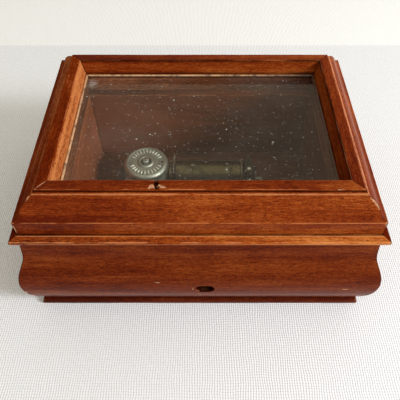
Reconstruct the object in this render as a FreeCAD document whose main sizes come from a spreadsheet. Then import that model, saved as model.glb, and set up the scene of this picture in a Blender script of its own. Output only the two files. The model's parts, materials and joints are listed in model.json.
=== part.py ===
"""Wind-up music box: a mitred hardwood case with a glazed, hinged lid and a comb movement inside.

Frame: the origin is the centre of the plinth's underside, +X runs to the right, +Y to the back, where
the lid is hinged, and +Z up. Sizes are in millimetres. The case mouldings are measured from the ledge
line, the widest line of the lid: a reach lies outside that line and an inset inside it.
"""

import FreeCAD, Part

import os
import re

import Sketcher

DIMENSIONS = {
    "ledge line of the lid": {
        "ledge_width": 176,
        "ledge_depth": 128,
    },
    "plinth and bottom board": {
        "plinth_height": 8,
        "plinth_reach": 3.5,
        "plinth_inset": 26,
        "plinth_nose_bottom": 2.2,
        "plinth_nose_top": 4.2,
        "plinth_neck_reach": 2,
        "board_thickness": 3,
        "board_screw_radius": 1.2,
        "board_screw_head_radius": 2.8,
        "board_screw_head_height": 1.4,
        "board_screw_depth": 10.2,
        "board_screw_span": 116,
    },
    "ogee walls, heights above the plinth": {
        "wall_height": 54.2,
        "wall_inset": 18.3,
        "toe_reach": 2.6,
        "toe_edge_reach": 3.6,
        "toe_edge_height": 1,
        "swell_reach": 7.9,
        "swell_height": 20,
        "shoulder_reach": 4.4,
        "shoulder_height": 34.2,
        "neck_reach": 1.6,
        "neck_height": 43,
        "head_reach": 0.6,
    },
    "oblong slot in the front wall": {
        "slot_offset": 2.7,
        "slot_centre_height": 17.7,
        "slot_length": 10.2,
        "slot_height": 7,
    },
    "rim moulding": {
        "rim_thickness": 3.9,
        "rim_reach": 4,
        "rim_nose_bevel": 1.3,
        "rim_slope_drop": 0.9,
        "rim_slope_reach": 3.2,
    },
    "lid rails, heights above the lid's underside": {
        "lid_gap": 0.25,
        "band_height": 9.25,
        "cove_inset": 3.5,
        "cove_height": 12.05,
        "ovolo_inset": 10.1,
        "ovolo_height": 18.85,
        "quirk_inset": 11,
        "quirk_height": 19.15,
        "lid_height": 20.65,
        "splay_top_inset": 16.85,
        "sight_inset": 19.5,
        "sight_edge": 0.6,
    },
    "glass and its beads": {
        "glass_thickness": 2.4,
        "glass_inset": 15.5,
        "rebate_inset": 15.3,
        "bead_width": 4,
        "bead_height": 9.1,
    },
    "butt hinges": {
        "hinge_spacing": 104,
        "hinge_reach": 1.6,
        "hinge_rise": 0.1,
        "leaf_length": 26,
        "leaf_width": 10.6,
        "leaf_thickness": 1,
        "leaf_setback": 2.1,
        "knuckle_radius": 1.8,
        "knuckle_length": 8.4,
        "knuckle_clearance": 0.4,
        "hinge_pin_radius": 0.8,
        "hinge_screw_span": 16,
        "hinge_screw_radius": 0.8,
        "hinge_screw_head_radius": 1.6,
        "hinge_screw_length": 7,
    },
    "clearances": {
        "running_clearance": 0.05,
        "axial_gap": 0.25,
        "sheet_gap": 0.15,
        "stop_gap": 0.3,
    },
    "bedplate": {
        "movement_offset": 12.75,
        "bed_thickness": 2,
        "bed_margin": 5.5,
        "bed_end_margin": 3,
        "bed_front": 25,
        "bed_back": 29,
        "movement_screw_radius": 1.5,
        "movement_screw_head_radius": 3,
        "movement_screw_head_height": 1.2,
        "movement_screw_inset": 5,
        "movement_screw_depth": 6,
    },
    "spring barrel": {
        "barrel_offset": -34.2,
        "barrel_radius": 14,
        "barrel_height": 21.7,
        "drum_wall": 0.8,
        "drum_floor": 1,
        "cover_height": 4,
        "cover_thickness": 1.4,
        "cover_edge_radius": 2.5,
        "cover_ring_outer": 11.4,
        "cover_ring_inner": 5.4,
        "cover_ring_depth": 0.6,
        "cover_boss_height": 0.4,
        "vent_radius": 0.8,
        "vent_offset": 10,
        "crown_reach": 1.25,
        "crown_tooth_start": 0.45,
        "crown_tooth_length": 1.75,
        "crown_flange": 1.35,
        "crown_teeth": 52,
    },
    "mainspring": {
        "coil_turns": 7,
        "strip_thickness": 0.35,
        "coil_hub_gap": 0.3,
    },
    "winding arbor, ratchet, click and key": {
        "arbor_radius": 2,
        "arbor_hub_radius": 3,
        "arbor_tip_height": 0.9,
        "arbor_slot_width": 0.8,
        "arbor_slot_depth": 0.7,
        "board_bore_radius": 3.4,
        "ratchet_thickness": 0.9,
        "ratchet_root_radius": 4.6,
        "ratchet_tip_radius": 5.6,
        "ratchet_teeth": 12,
        "ratchet_slope_share": 0.85,
        "click_width": 1.1,
        "click_boss_radius": 1.7,
        "click_arm_half_width": 1.5,
        "click_stud_radius": 1,
        "click_stud_back": 6.6,
        "click_stud_side": 8,
        "click_spring_thickness": 0.3,
        "click_spring_length": 8,
        "key_floor_gap": 0.8,
        "key_height": 6.2,
        "key_hub_radius": 3.4,
        "key_wing_span": 21,
        "key_wing_thickness": 1.8,
        "key_bore_depth": 3.4,
    },
    "shared tooth proportions, as shares of the pitch": {
        "tooth_addendum": 0.25,
        "tooth_dedendum": 0.35,
        "tooth_tip_half": 0.1,
        "tooth_root_half": 0.25,
    },
    "cylinder and its wheels": {
        "drive_teeth": 28,
        "drive_face": 1.6,
        "bracket_gap": 0.75,
        "cylinder_gap": 0.9,
        "cylinder_length": 41.3,
        "cylinder_radius": 8.4,
        "cylinder_wall": 0.9,
        "end_cap_thickness": 1,
        "pin_height": 0.5,
        "cylinder_arbor_radius": 1,
        "cylinder_arbor_overhang": 0.6,
        "wheel_gap": 0.2,
        "wheel_face": 1,
        "wheel_teeth": 48,
        "wheel_module": 0.36,
    },
    "brackets": {
        "bracket_thickness": 1,
        "bracket_top": 5.5,
        "frame_plate_rise": 2.5,
        "bracket_front": 4.25,
        "bracket_back": 13.25,
        "foot_length": 6,
        "foot_thickness": 1.2,
        "rivet_radius": 1,
        "rivet_head_radius": 1.7,
        "rivet_head_height": 0.5,
    },
    "governor": {
        "mesh_angle": 66.5,
        "pinion_teeth": 12,
        "governor_arbor_radius": 0.8,
        "worm_wheel_teeth": 24,
        "worm_wheel_radius": 4.6,
        "worm_wheel_face": 1.2,
        "worm_radius": 1.55,
        "worm_offset": 2.2,
        "worm_turns": 6,
        "pivot_radius": 0.7,
        "lug_offset": 3.2,
        "lug_margin": 3.4,
        "frame_top": 8.9,
        "arm_thickness": 0.8,
        "arm_half_width": 2.6,
        "web_offset": 8,
        "web_thickness": 1.4,
        "fly_radius": 3.6,
        "fly_thickness": 0.6,
        "fly_height": 4.2,
        "fly_hub_radius": 1.3,
        "fly_drop": 0.6,
        "cap_radius": 1.5,
        "cap_height": 0.9,
    },
    "comb and its block": {
        "comb_teeth": 36,
        "comb_thickness": 1.2,
        "comb_inset": 0.5,
        "comb_back": 20.6,
        "comb_tooth_length": 8.5,
        "comb_slot_width": 0.25,
        "tip_gap": 0.25,
        "block_front": 24,
        "block_back": -6,
        "block_margin": 1.5,
        "comb_screw_radius": 1.3,
        "comb_screw_head_radius": 2.3,
        "comb_screw_head_height": 1.4,
        "comb_screw_depth": 6,
        "comb_screw_span": 24,
        "comb_screw_setback": 4.2,
    },
    "stop slide": {
        "slide_travel": 4.8,
        "slide_thickness": 1,
        "slide_front": 23.5,
        "slide_width": 6,
        "slide_start": 6,
        "finger_width": 2.6,
        "finger_length": 26.7,
        "slide_arm_width": 1.7,
        "brake_width": 2,
        "brake_height": 5.6,
        "brake_thickness": 0.8,
        "slide_screw_radius": 1.2,
        "slide_screw_head_radius": 2.3,
        "slide_screw_head_height": 1,
        "slide_screw_depth": 4,
        "slide_screw_offset": 6.1,
        "slide_screw_span": 17.1,
    },
}

# Rotations that lay an object's own Z axis along X (its X then points down) or along Y.
ALONG_X = FreeCAD.Rotation(FreeCAD.Vector(0, 1, 0), 90)
ALONG_Y = FreeCAD.Rotation(FreeCAD.Vector(1, 0, 0), -90)

# Heights and places that several pieces share, as expressions of the sheet.
WALL_TOP = "(plinth_height + wall_height)"
RIM_TOP = f"({WALL_TOP} + rim_thickness)"
LID_BOTTOM = f"({RIM_TOP} + lid_gap)"
GLASS_BOTTOM = f"({LID_BOTTOM} + lid_gap + bead_height)"
GLASS_TOP = f"({GLASS_BOTTOM} + glass_thickness)"
HINGE_Y = "(ledge_depth / 2 + hinge_reach)"
HINGE_Z = f"({RIM_TOP} + hinge_rise)"
FLOOR = "(plinth_height + board_thickness)"
BED_TOP = f"({FLOOR} + bed_thickness)"
RATCHET_BOTTOM = f"({BED_TOP} + sheet_gap)"
DRUM_BOTTOM = f"({RATCHET_BOTTOM} + ratchet_thickness + axial_gap)"
DRUM_FLOOR = f"({DRUM_BOTTOM} + drum_floor)"
BARREL_TOP = f"({DRUM_BOTTOM} + barrel_height)"
COVER_BOTTOM = f"({BARREL_TOP} - cover_thickness)"
CROWN_RADIUS = "(barrel_radius + crown_reach)"
CROWN_PITCH = f"(2 * pi * {CROWN_RADIUS} / crown_teeth)"
CROWN_ROOT = f"({DRUM_BOTTOM} + crown_flange)"
DRIVE_RADIUS = f"({CROWN_RADIUS} * drive_teeth / crown_teeth)"
DRIVE_X = f"(barrel_offset + {CROWN_RADIUS})"
AXLE_Z = f"({CROWN_ROOT} + tooth_dedendum * {CROWN_PITCH} + {DRIVE_RADIUS})"
BRACKET_X = f"({DRIVE_X} + drive_face / 2 + bracket_gap)"
CYLINDER_X = f"({BRACKET_X} + bracket_thickness + cylinder_gap)"
CYLINDER_END = f"({CYLINDER_X} + cylinder_length)"
WHEEL_X = f"({CYLINDER_END} + wheel_gap)"
FRAME_X = f"({WHEEL_X} + wheel_face + bracket_thickness)"
WHEEL_RADIUS = "(wheel_module * wheel_teeth / 2)"
PINION_RADIUS = "(wheel_module * pinion_teeth / 2)"
MESH_DISTANCE = f"({WHEEL_RADIUS} + {PINION_RADIUS})"
GOVERNOR_Y = f"(movement_offset - {MESH_DISTANCE} * sin(mesh_angle * 1deg))"
GOVERNOR_Z = f"({AXLE_Z} - {MESH_DISTANCE} * cos(mesh_angle * 1deg))"
WORM_X = f"({FRAME_X} + bracket_thickness + worm_offset)"
WORM_Y = f"({GOVERNOR_Y} + worm_wheel_radius + worm_radius)"
WORM_PITCH = "(2 * pi * worm_wheel_radius / worm_wheel_teeth)"
LUG_X = f"({WORM_X} + lug_offset)"
FOOT_TOP = f"({BED_TOP} + foot_thickness)"
FRAME_TOP = f"({AXLE_Z} + frame_top)"
FRAME_BACK = f"({WORM_Y} + web_offset + web_thickness)"
FRAME_FRONT = f"({GOVERNOR_Y} - lug_margin)"
FRAME_END = f"({LUG_X} + bracket_thickness + sheet_gap)"
BED_LEFT = f"(barrel_offset - {CROWN_RADIUS} - bed_margin)"
BED_RIGHT = f"({FRAME_END} + bed_end_margin)"
COMB_BOTTOM = f"({AXLE_Z} - comb_thickness / 2)"
COMB_TIP = "(movement_offset - cylinder_radius - pin_height - tip_gap)"
COMB_X = f"({CYLINDER_X} + comb_inset)"
COMB_LENGTH = "(cylinder_length - 2 * comb_inset)"
SLIDE_TOP = f"({COMB_BOTTOM} + slide_thickness)"
BRAKE_X = f"({WORM_X} + fly_radius + stop_gap)"
SLIDE_ARM_X = f"({BED_RIGHT} + stop_gap)"


def make_sheet(doc):
    """Writes every driving size into the sheet, a heading above each group."""
    sheet = doc.addObject("Spreadsheet::Sheet", "dims")
    row = 1
    for heading, sizes in DIMENSIONS.items():
        sheet.set(f"A{row}", heading)
        row += 1
        for alias, value in sizes.items():
            sheet.set(f"A{row}", alias.replace("_", " "))
            sheet.set(f"B{row}", str(value))
            sheet.setAlias(f"B{row}", alias)
            row += 1
    doc.recompute()
    return sheet


doc = FreeCAD.newDocument("music_box")
sheet = make_sheet(doc)
ALIASES = re.compile(r"\b(" + "|".join(name for group in DIMENSIONS.values() for name in group) + r")\b")
nodes = []


def bound(text):
    """An expression of the aliases, as objects outside the sheet read it."""
    return ALIASES.sub(r"dims.\1", str(text))


def value(text):
    """The number that an expression of the aliases has now."""
    return float(sheet.evalExpression(str(text)))


def place(obj, at, turn=None):
    """Turns an object, then binds its position to three expressions."""
    if turn is not None:
        obj.Placement = FreeCAD.Placement(FreeCAD.Vector(), turn)
    for axis, text in zip("xyz", at):
        obj.setExpression(f"Placement.Base.{axis}", bound(text))
    return obj


def primitive(kind, name, sizes, at, turn=None):
    """A Part primitive whose sizes are bound to expressions."""
    obj = doc.addObject(f"Part::{kind}", name)
    for prop, text in sizes.items():
        obj.setExpression(prop, bound(text))
    return place(obj, at, turn)


def box(name, low, size):
    """A box from its lowest corner and its three sizes."""
    return primitive("Box", name, dict(zip(("Length", "Width", "Height"), size)), low)


def cylinder(name, radius, height, at, turn=None):
    """A cylinder that starts at a point and runs along its own Z."""
    return primitive("Cylinder", name, {"Radius": radius, "Height": height}, at, turn)


def cone(name, start_radius, end_radius, height, at):
    """A cone with its first radius at the given point."""
    return primitive("Cone", name, {"Radius1": start_radius, "Radius2": end_radius, "Height": height}, at)


def fuse(name, pieces):
    """One solid from several that meet."""
    obj = doc.addObject("Part::MultiFuse", name)
    obj.Shapes = pieces
    return obj


def cut(name, base, tools):
    """The base with each tool taken away."""
    obj = doc.addObject("Part::Cut", name)
    obj.Base = base
    obj.Tool = tools[0] if len(tools) == 1 else fuse(f"{name}_tools", tools)
    return obj


def group(name, pieces):
    """Separate solids that share one node."""
    obj = doc.addObject("Part::Compound", name)
    obj.Links = pieces
    return obj


def node(name, obj):
    """Marks an object as a finished piece and names it."""
    obj.Label = name
    nodes.append(obj)
    return obj


def origin_feature(body, role):
    """The body's own origin plane or axis with this role."""
    return next(item for item in body.Origin.OriginFeatures if item.Role == role)


def add_outline(sketch, corners):
    """Adds a closed outline. A corner is (x, y), or (x, y, bulge) where an arc arrives at it.

    The bulge is the arc's rise as a share of half its chord, positive to the left of the way.
    """
    constraints = []
    expressions = []
    ends = []
    for before, corner in zip([corners[-1]] + corners[:-1], corners):
        x, y = value(corner[0]), value(corner[1])
        start = FreeCAD.Vector(value(before[0]), value(before[1]), 0)
        stop = FreeCAD.Vector(x, y, 0)
        first, last = 1, 2
        if len(corner) == 2:
            index = sketch.addGeometry(Part.LineSegment(start, stop), False)
        else:
            bulge = corner[2]
            crown = (start + stop) / 2 + FreeCAD.Vector(start.y - stop.y, stop.x - start.x, 0) * (bulge / 2)
            if bulge > 0:
                first, last = last, first
                start, stop = stop, start
            arc = Part.ArcOfCircle(start, crown, stop)
            index = sketch.addGeometry(arc, False)
            chord = f"sqrt(({corner[0]} - ({before[0]}))^2 + ({corner[1]} - ({before[1]}))^2)"
            constraints.append(Sketcher.Constraint("Radius", index, arc.Radius))
            expressions.append(f"{chord} * {(1 + bulge**2) / (4 * abs(bulge))}")
        constraints.append(Sketcher.Constraint("DistanceX", -1, 1, index, last, x))
        constraints.append(Sketcher.Constraint("DistanceY", -1, 1, index, last, y))
        expressions += [corner[0], corner[1]]
        ends.append((index, first, last))
    base = sketch.ConstraintCount
    joins = [
        Sketcher.Constraint("Coincident", here[0], here[2], after[0], after[1])
        for here, after in zip(ends, ends[1:] + ends[:1])
    ]
    sketch.addConstraint(constraints + joins)
    for index, text in enumerate(expressions, base):
        sketch.setExpression(f"Constraints[{index}]", bound(text))


def make_sketch(body, role, outlines, offset=None):
    """A sketch on one of the body's origin planes, moved along its normal by an expression."""
    sketch = body.newObject("Sketcher::SketchObject", "outline")
    sketch.AttachmentSupport = [(origin_feature(body, role), "")]
    sketch.MapMode = "FlatFace"
    if offset is not None:
        sketch.setExpression("AttachmentOffset.Base.z", bound(offset))
    for corners in outlines:
        add_outline(sketch, corners)
    return sketch


def add_pad(body, sketch, length, midplane=False):
    """Pads a sketch by an expression."""
    pad = body.newObject("PartDesign::Pad", "pad")
    pad.Profile = sketch
    pad.Midplane = midplane
    pad.setExpression("Length", bound(length))
    return pad


def add_pocket(body, sketch):
    """Cuts a sketch on the body's lowest plane through everything above it."""
    pocket = body.newObject("PartDesign::Pocket", "pocket")
    pocket.Profile = sketch
    pocket.Type = "ThroughAll"
    pocket.Reversed = True
    return pocket


def add_revolution(body, corners):
    """A full turn of an outline of (radius, height) corners about the body's Z axis."""
    sketch = make_sketch(body, "XZ_Plane", [corners])
    revolution = body.newObject("PartDesign::Revolution", "turning")
    revolution.Profile = sketch
    revolution.ReferenceAxis = (sketch, ["V_Axis"])
    revolution.Angle = 360
    return revolution


def add_ring(body, feature, count):
    """Repeats a feature round the body's Z axis."""
    ring = body.newObject("PartDesign::PolarPattern", "ring")
    ring.Originals = [feature]
    ring.Axis = (origin_feature(body, "Z_Axis"), [""])
    ring.Angle = 360
    ring.setExpression("Occurrences", bound(count))
    body.Tip = ring
    return ring


def new_body(name):
    """An empty body."""
    return doc.addObject("PartDesign::Body", name)


def plate(name, corners, thickness, at, turn=None):
    """A flat piece from its outline, padded along its own Z."""
    body = new_body(name)
    add_pad(body, make_sketch(body, "XY_Plane", [corners]), thickness)
    return place(body, at, turn)


def turned(name, corners, at=("0", "0", "0"), turn=None):
    """A turned piece from an outline of (radius, height) corners."""
    body = new_body(name)
    add_revolution(body, corners)
    return place(body, at, turn)


def along(radius, side, angle):
    """The point at a radius along a direction and a distance to its left, for an angle in degrees."""
    turn = f"(({angle}) * 1deg)"
    return (
        f"({radius}) * cos({turn}) - ({side}) * sin({turn})",
        f"({radius}) * sin({turn}) + ({side}) * cos({turn})",
    )


def toothed_wheel(name, teeth, pitch_radius, face, bore, first_tooth, at):
    """A spur wheel on an X axis, its first tooth at an angle from straight down towards the back."""
    pitch = f"(2 * pi * {pitch_radius} / {teeth})"
    root = f"({pitch_radius} - tooth_dedendum * {pitch})"
    tip = f"({pitch_radius} + tooth_addendum * {pitch})"
    inner = f"({root} - tooth_dedendum * {pitch})"
    body = new_body(name)
    add_revolution(body, [(bore, "0"), (root, "0"), (root, face), (bore, face)])
    steps = [
        (inner, f"-tooth_root_half * {pitch}"),
        (root, f"-tooth_root_half * {pitch}"),
        (tip, f"-tooth_tip_half * {pitch}"),
        (tip, f"tooth_tip_half * {pitch}"),
        (root, f"tooth_root_half * {pitch}"),
        (inner, f"tooth_root_half * {pitch}"),
    ]
    sketch = make_sketch(body, "XY_Plane", [[along(radius, side, first_tooth) for radius, side in steps]])
    add_ring(body, add_pad(body, sketch, face), teeth)
    return place(body, at, ALONG_X)


# The middle of each side's ledge line and its length, in the order of the equal turns about Z that carry
# a rail from the back, where its +Y points outwards, round to each side.
SIDES = {
    "back": (("0", "ledge_depth / 2", "0"), "ledge_width"),
    "left": (("-ledge_width / 2", "0", "0"), "ledge_depth"),
    "front": (("0", "-ledge_depth / 2", "0"), "ledge_width"),
    "right": (("ledge_width / 2", "0", "0"), "ledge_depth"),
}


def mitred_rail(name, side, profile, reach, inset):
    """A length of moulding along X, its profile in (reach, height), mitred at both ends, on its side."""
    at, length = SIDES[side]
    degrees = 360 * list(SIDES).index(side) / len(SIDES)
    body = new_body(name)
    section = make_sketch(body, "YZ_Plane", [profile])
    add_pad(body, section, f"{length} + 4 * {reach}", midplane=True)
    waste = [
        [
            (f"{sign} * ({length} / 2 - 2 * {inset})", f"-2 * {inset}"),
            (f"{sign} * ({length} / 2 + 3 * {reach})", f"3 * {reach}"),
            (f"{sign} * ({length} / 2 + 3 * {reach})", f"-2 * {inset}"),
        ]
        for sign in (-1, 1)
    ]
    add_pocket(body, make_sketch(body, "XY_Plane", waste))
    return place(body, at, FreeCAD.Rotation(FreeCAD.Vector(0, 0, 1), degrees))


def frame_of_rails(name, profile, reach, inset):
    """Four mitred rails, unnamed, by side."""
    return {side: mitred_rail(f"{name}_{side}_blank", side, profile, reach, inset) for side in SIDES}


def make_plinth():
    """The plinth lengths, the bottom board on them and its screws from below."""
    profile = [
        ("-plinth_inset", "0"),
        ("plinth_reach", "0"),
        ("plinth_reach", "plinth_nose_bottom"),
        ("plinth_neck_reach", "plinth_nose_top", -0.35),
        ("plinth_neck_reach", "plinth_height"),
        ("-plinth_inset", "plinth_height"),
    ]
    rails = frame_of_rails("plinth", profile, "plinth_reach", "plinth_inset")
    board_x = "(ledge_width / 2 - wall_inset)"
    board_y = "(ledge_depth / 2 - wall_inset)"
    seat = "((plinth_inset - wall_inset) / 2)"
    screws = []
    for sign_x in (-1, 1):
        for sign_y in (-1, 1):
            at = (f"{sign_x} * board_screw_span / 2", f"{sign_y} * ({board_y} - {seat})", "0")
            shank = cylinder("shank", "board_screw_radius", "board_screw_depth", at)
            head = cone("head", "board_screw_head_radius", "board_screw_radius", "board_screw_head_height", at)
            screws.append(fuse("board_screw", [shank, head]))
    screws = node("board_screws", group("screws", screws))
    for side in ("front", "back"):
        rails[side] = cut(f"plinth_{side}_bored", rails[side], [screws])
    for side, rail in rails.items():
        node(f"plinth_{side}", rail)
    board = box(
        "board_blank",
        (f"-{board_x}", f"-{board_y}", "plinth_height"),
        (f"2 * {board_x}", f"2 * {board_y}", "board_thickness"),
    )
    bore = cylinder(
        "key_bore", "board_bore_radius", "board_thickness", ("barrel_offset", "movement_offset", "plinth_height")
    )
    return board, [screws, bore]


def make_walls(hinge_screws):
    """The ogee walls: the slide's oblong slot is in the front one, the hinge screws in the back one."""
    profile = [
        ("-wall_inset", "plinth_height"),
        ("toe_reach", "plinth_height"),
        ("toe_edge_reach", "plinth_height + toe_edge_height", -0.3),
        ("swell_reach", "plinth_height + swell_height", -0.112),
        ("shoulder_reach", "plinth_height + shoulder_height", -0.124),
        ("neck_reach", "plinth_height + neck_height", 0.092),
        ("head_reach", WALL_TOP),
        ("-wall_inset", WALL_TOP),
    ]
    rails = frame_of_rails("wall", profile, "swell_reach", "wall_inset")
    flat = "(slot_length - slot_height)"
    slot_y = "(-ledge_depth / 2 - 2 * swell_reach)"
    depth = "(wall_inset + 3 * swell_reach)"
    slot_z = "(plinth_height + slot_centre_height)"
    tools = [
        box("slot_middle", (f"slot_offset - {flat} / 2", slot_y, f"{slot_z} - slot_height / 2"),
            (flat, depth, "slot_height"))
    ]
    for sign in (-1, 1):
        end = (f"slot_offset + {sign} * {flat} / 2", slot_y, slot_z)
        tools.append(cylinder("slot_end", "slot_height / 2", depth, end, ALONG_Y))
    rails["front"] = cut("wall_front_slotted", rails["front"], tools)
    rails["back"] = cut("wall_back_bored", rails["back"], [hinge_screws])
    for side, rail in rails.items():
        node(f"wall_{side}", rail)


def make_hinges():
    """The butt hinges. Returns the tools that make room for them in the lid and in the rim."""
    parts = {name: [] for name in ("lid_leaf", "case_leaf", "pin", "lid_screw", "case_screw", "room")}
    for sign in (-1, 1):
        centre = f"({sign} * hinge_spacing / 2)"
        start = f"({centre} - leaf_length / 2)"
        barrel_at = (f"{centre} - leaf_length / 2", HINGE_Y, HINGE_Z)
        bore = cylinder("pin_bore", "hinge_pin_radius + running_clearance", "leaf_length", barrel_at, ALONG_X)
        room = cylinder("room", "knuckle_radius + knuckle_clearance", "leaf_length + 2 * knuckle_clearance",
                        (f"{start} - knuckle_clearance", HINGE_Y, HINGE_Z), ALONG_X)
        parts["room"].append(room)
        parts["pin"].append(cylinder("pin", "hinge_pin_radius", "leaf_length", barrel_at, ALONG_X))
        heights = {"lid": LID_BOTTOM, "case": f"({RIM_TOP} - leaf_thickness)"}
        stretches = {
            "lid": [(f"({centre} - knuckle_length / 2)", "knuckle_length")],
            "case": [
                (start, "(leaf_length - knuckle_length) / 2 - knuckle_clearance / 2"),
                (f"({centre} + knuckle_length / 2 + knuckle_clearance / 2)",
                 "(leaf_length - knuckle_length) / 2 - knuckle_clearance / 2"),
            ],
        }
        for leaf in ("lid", "case"):
            low = heights[leaf]
            solids = [box("leaf_plate", (start, f"{HINGE_Y} - leaf_width", low),
                          ("leaf_length", "leaf_width - leaf_setback", "leaf_thickness"))]
            for knuckle_x, knuckle_length in stretches[leaf]:
                at = (knuckle_x, HINGE_Y, HINGE_Z)
                solids.append(cylinder("knuckle", "knuckle_radius", knuckle_length, at, ALONG_X))
                solids.append(box("tongue", (knuckle_x, f"{HINGE_Y} - leaf_setback", low),
                                  (knuckle_length, "leaf_setback", "leaf_thickness")))
            blank = fuse("leaf_blank", solids)
            screws = []
            for screw_sign in (-1, 1):
                x = f"{centre} + {screw_sign} * hinge_screw_span / 2"
                y = f"{HINGE_Y} - (leaf_width + leaf_setback) / 2"
                if leaf == "lid":
                    face = LID_BOTTOM
                    shank_at = (x, y, face)
                    head = cone("head", "hinge_screw_head_radius", "hinge_screw_radius", "leaf_thickness",
                                (x, y, face))
                else:
                    face = RIM_TOP
                    shank_at = (x, y, f"{face} - hinge_screw_length")
                    head = cone("head", "hinge_screw_radius", "hinge_screw_head_radius", "leaf_thickness",
                                (x, y, f"{face} - leaf_thickness"))
                shank = cylinder("shank", "hinge_screw_radius", "hinge_screw_length", shank_at)
                screws.append(fuse("hinge_screw", [shank, head]))
            parts[f"{leaf}_screw"] += screws
            parts[f"{leaf}_leaf"].append(cut("leaf", blank, [bore] + screws))
    lid_leaves = node("lid_hinge_leaves", group("lid_leaves", parts["lid_leaf"]))
    case_leaves = node("case_hinge_leaves", group("case_leaves", parts["case_leaf"]))
    node("hinge_pins", group("pins", parts["pin"]))
    lid_screws = node("lid_hinge_screws", group("lid_screws", parts["lid_screw"]))
    case_screws = node("case_hinge_screws", group("case_screws", parts["case_screw"]))
    rooms = group("rooms", parts["room"])
    return [lid_leaves, lid_screws, rooms], [case_leaves, case_screws, rooms]


def make_rim(hinge_tools):
    """The lipped moulding on top of the walls."""
    profile = [
        ("-wall_inset", WALL_TOP),
        ("rim_reach - rim_nose_bevel", WALL_TOP),
        ("rim_reach", f"{WALL_TOP} + rim_nose_bevel", -0.41),
        ("rim_reach", f"{RIM_TOP} - rim_slope_drop - rim_nose_bevel / 2"),
        ("rim_slope_reach", f"{RIM_TOP} - rim_slope_drop", -0.41),
        ("head_reach", RIM_TOP),
        ("-wall_inset", RIM_TOP),
    ]
    rails = frame_of_rails("rim", profile, "rim_reach", "wall_inset")
    rails["back"] = cut("rim_back_mortised", rails["back"], hinge_tools)
    for side, rail in rails.items():
        node(f"rim_{side}", rail)


def make_lid(hinge_tools):
    """The lid's rails, its pane and the beads that hold it."""
    profile = [
        ("-rebate_inset", LID_BOTTOM),
        ("0", LID_BOTTOM),
        ("0", f"{LID_BOTTOM} + band_height"),
        ("-cove_inset", f"{LID_BOTTOM} + cove_height", 0.24),
        ("-ovolo_inset", f"{LID_BOTTOM} + ovolo_height", -0.18),
        ("-quirk_inset", f"{LID_BOTTOM} + quirk_height"),
        ("-quirk_inset", f"{LID_BOTTOM} + lid_height"),
        ("-splay_top_inset", f"{LID_BOTTOM} + lid_height"),
        ("-sight_inset", f"{GLASS_TOP} + sight_edge"),
        ("-sight_inset", GLASS_TOP),
        ("-rebate_inset", GLASS_TOP),
    ]
    rails = frame_of_rails("lid_rail", profile, "lid_gap", "sight_inset")
    rails["back"] = cut("lid_rail_back_mortised", rails["back"], hinge_tools)
    for side, rail in rails.items():
        node(f"lid_rail_{side}", rail)
    half_width = "(ledge_width / 2 - glass_inset)"
    half_depth = "(ledge_depth / 2 - glass_inset)"
    node("glass_pane", box("glass", (f"-{half_width}", f"-{half_depth}", GLASS_BOTTOM),
                           (f"2 * {half_width}", f"2 * {half_depth}", "glass_thickness")))
    bead = [
        ("-rebate_inset - bead_width", f"{GLASS_BOTTOM} - bead_height"),
        ("-rebate_inset", f"{GLASS_BOTTOM} - bead_height"),
        ("-rebate_inset", GLASS_BOTTOM),
        ("-rebate_inset - bead_width", GLASS_BOTTOM),
    ]
    for side, rail in frame_of_rails("bead", bead, "lid_gap", "(rebate_inset + bead_width)").items():
        node(f"glass_bead_{side}", rail)


def make_bedplate(board, board_tools):
    """The bedplate, and the screws that hold the movement from under the board."""
    back_y = "bed_back - movement_screw_inset"
    front_y = "(block_back - block_front) / 2"
    places = [
        (f"{BED_LEFT} + movement_screw_inset", back_y, "0"),
        (f"{BED_RIGHT} - movement_screw_inset", back_y, "0"),
        (f"{COMB_X} + movement_screw_inset", front_y, "movement_screw_depth"),
        (f"{COMB_X} + {COMB_LENGTH} - movement_screw_inset", front_y, "movement_screw_depth"),
    ]
    screws = []
    for x, y, depth in places:
        shank = cylinder("shank", "movement_screw_radius", f"board_thickness + bed_thickness + {depth}",
                         (x, y, "plinth_height"))
        head = cylinder("head", "movement_screw_head_radius", "movement_screw_head_height",
                        (x, y, "plinth_height - movement_screw_head_height"))
        screws.append(fuse("movement_screw", [shank, head]))
    screws = node("movement_screws", group("screws", screws))
    node("bottom_board", cut("board", board, board_tools + [screws]))
    blank = box("bed_blank", (BED_LEFT, "-bed_front", FLOOR),
                (f"{BED_RIGHT} - {BED_LEFT}", "bed_front + bed_back", "bed_thickness"))
    bore = cylinder("arbor_bore", "arbor_radius + running_clearance", "bed_thickness",
                    ("barrel_offset", "movement_offset", FLOOR))
    return blank, screws, bore


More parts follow.
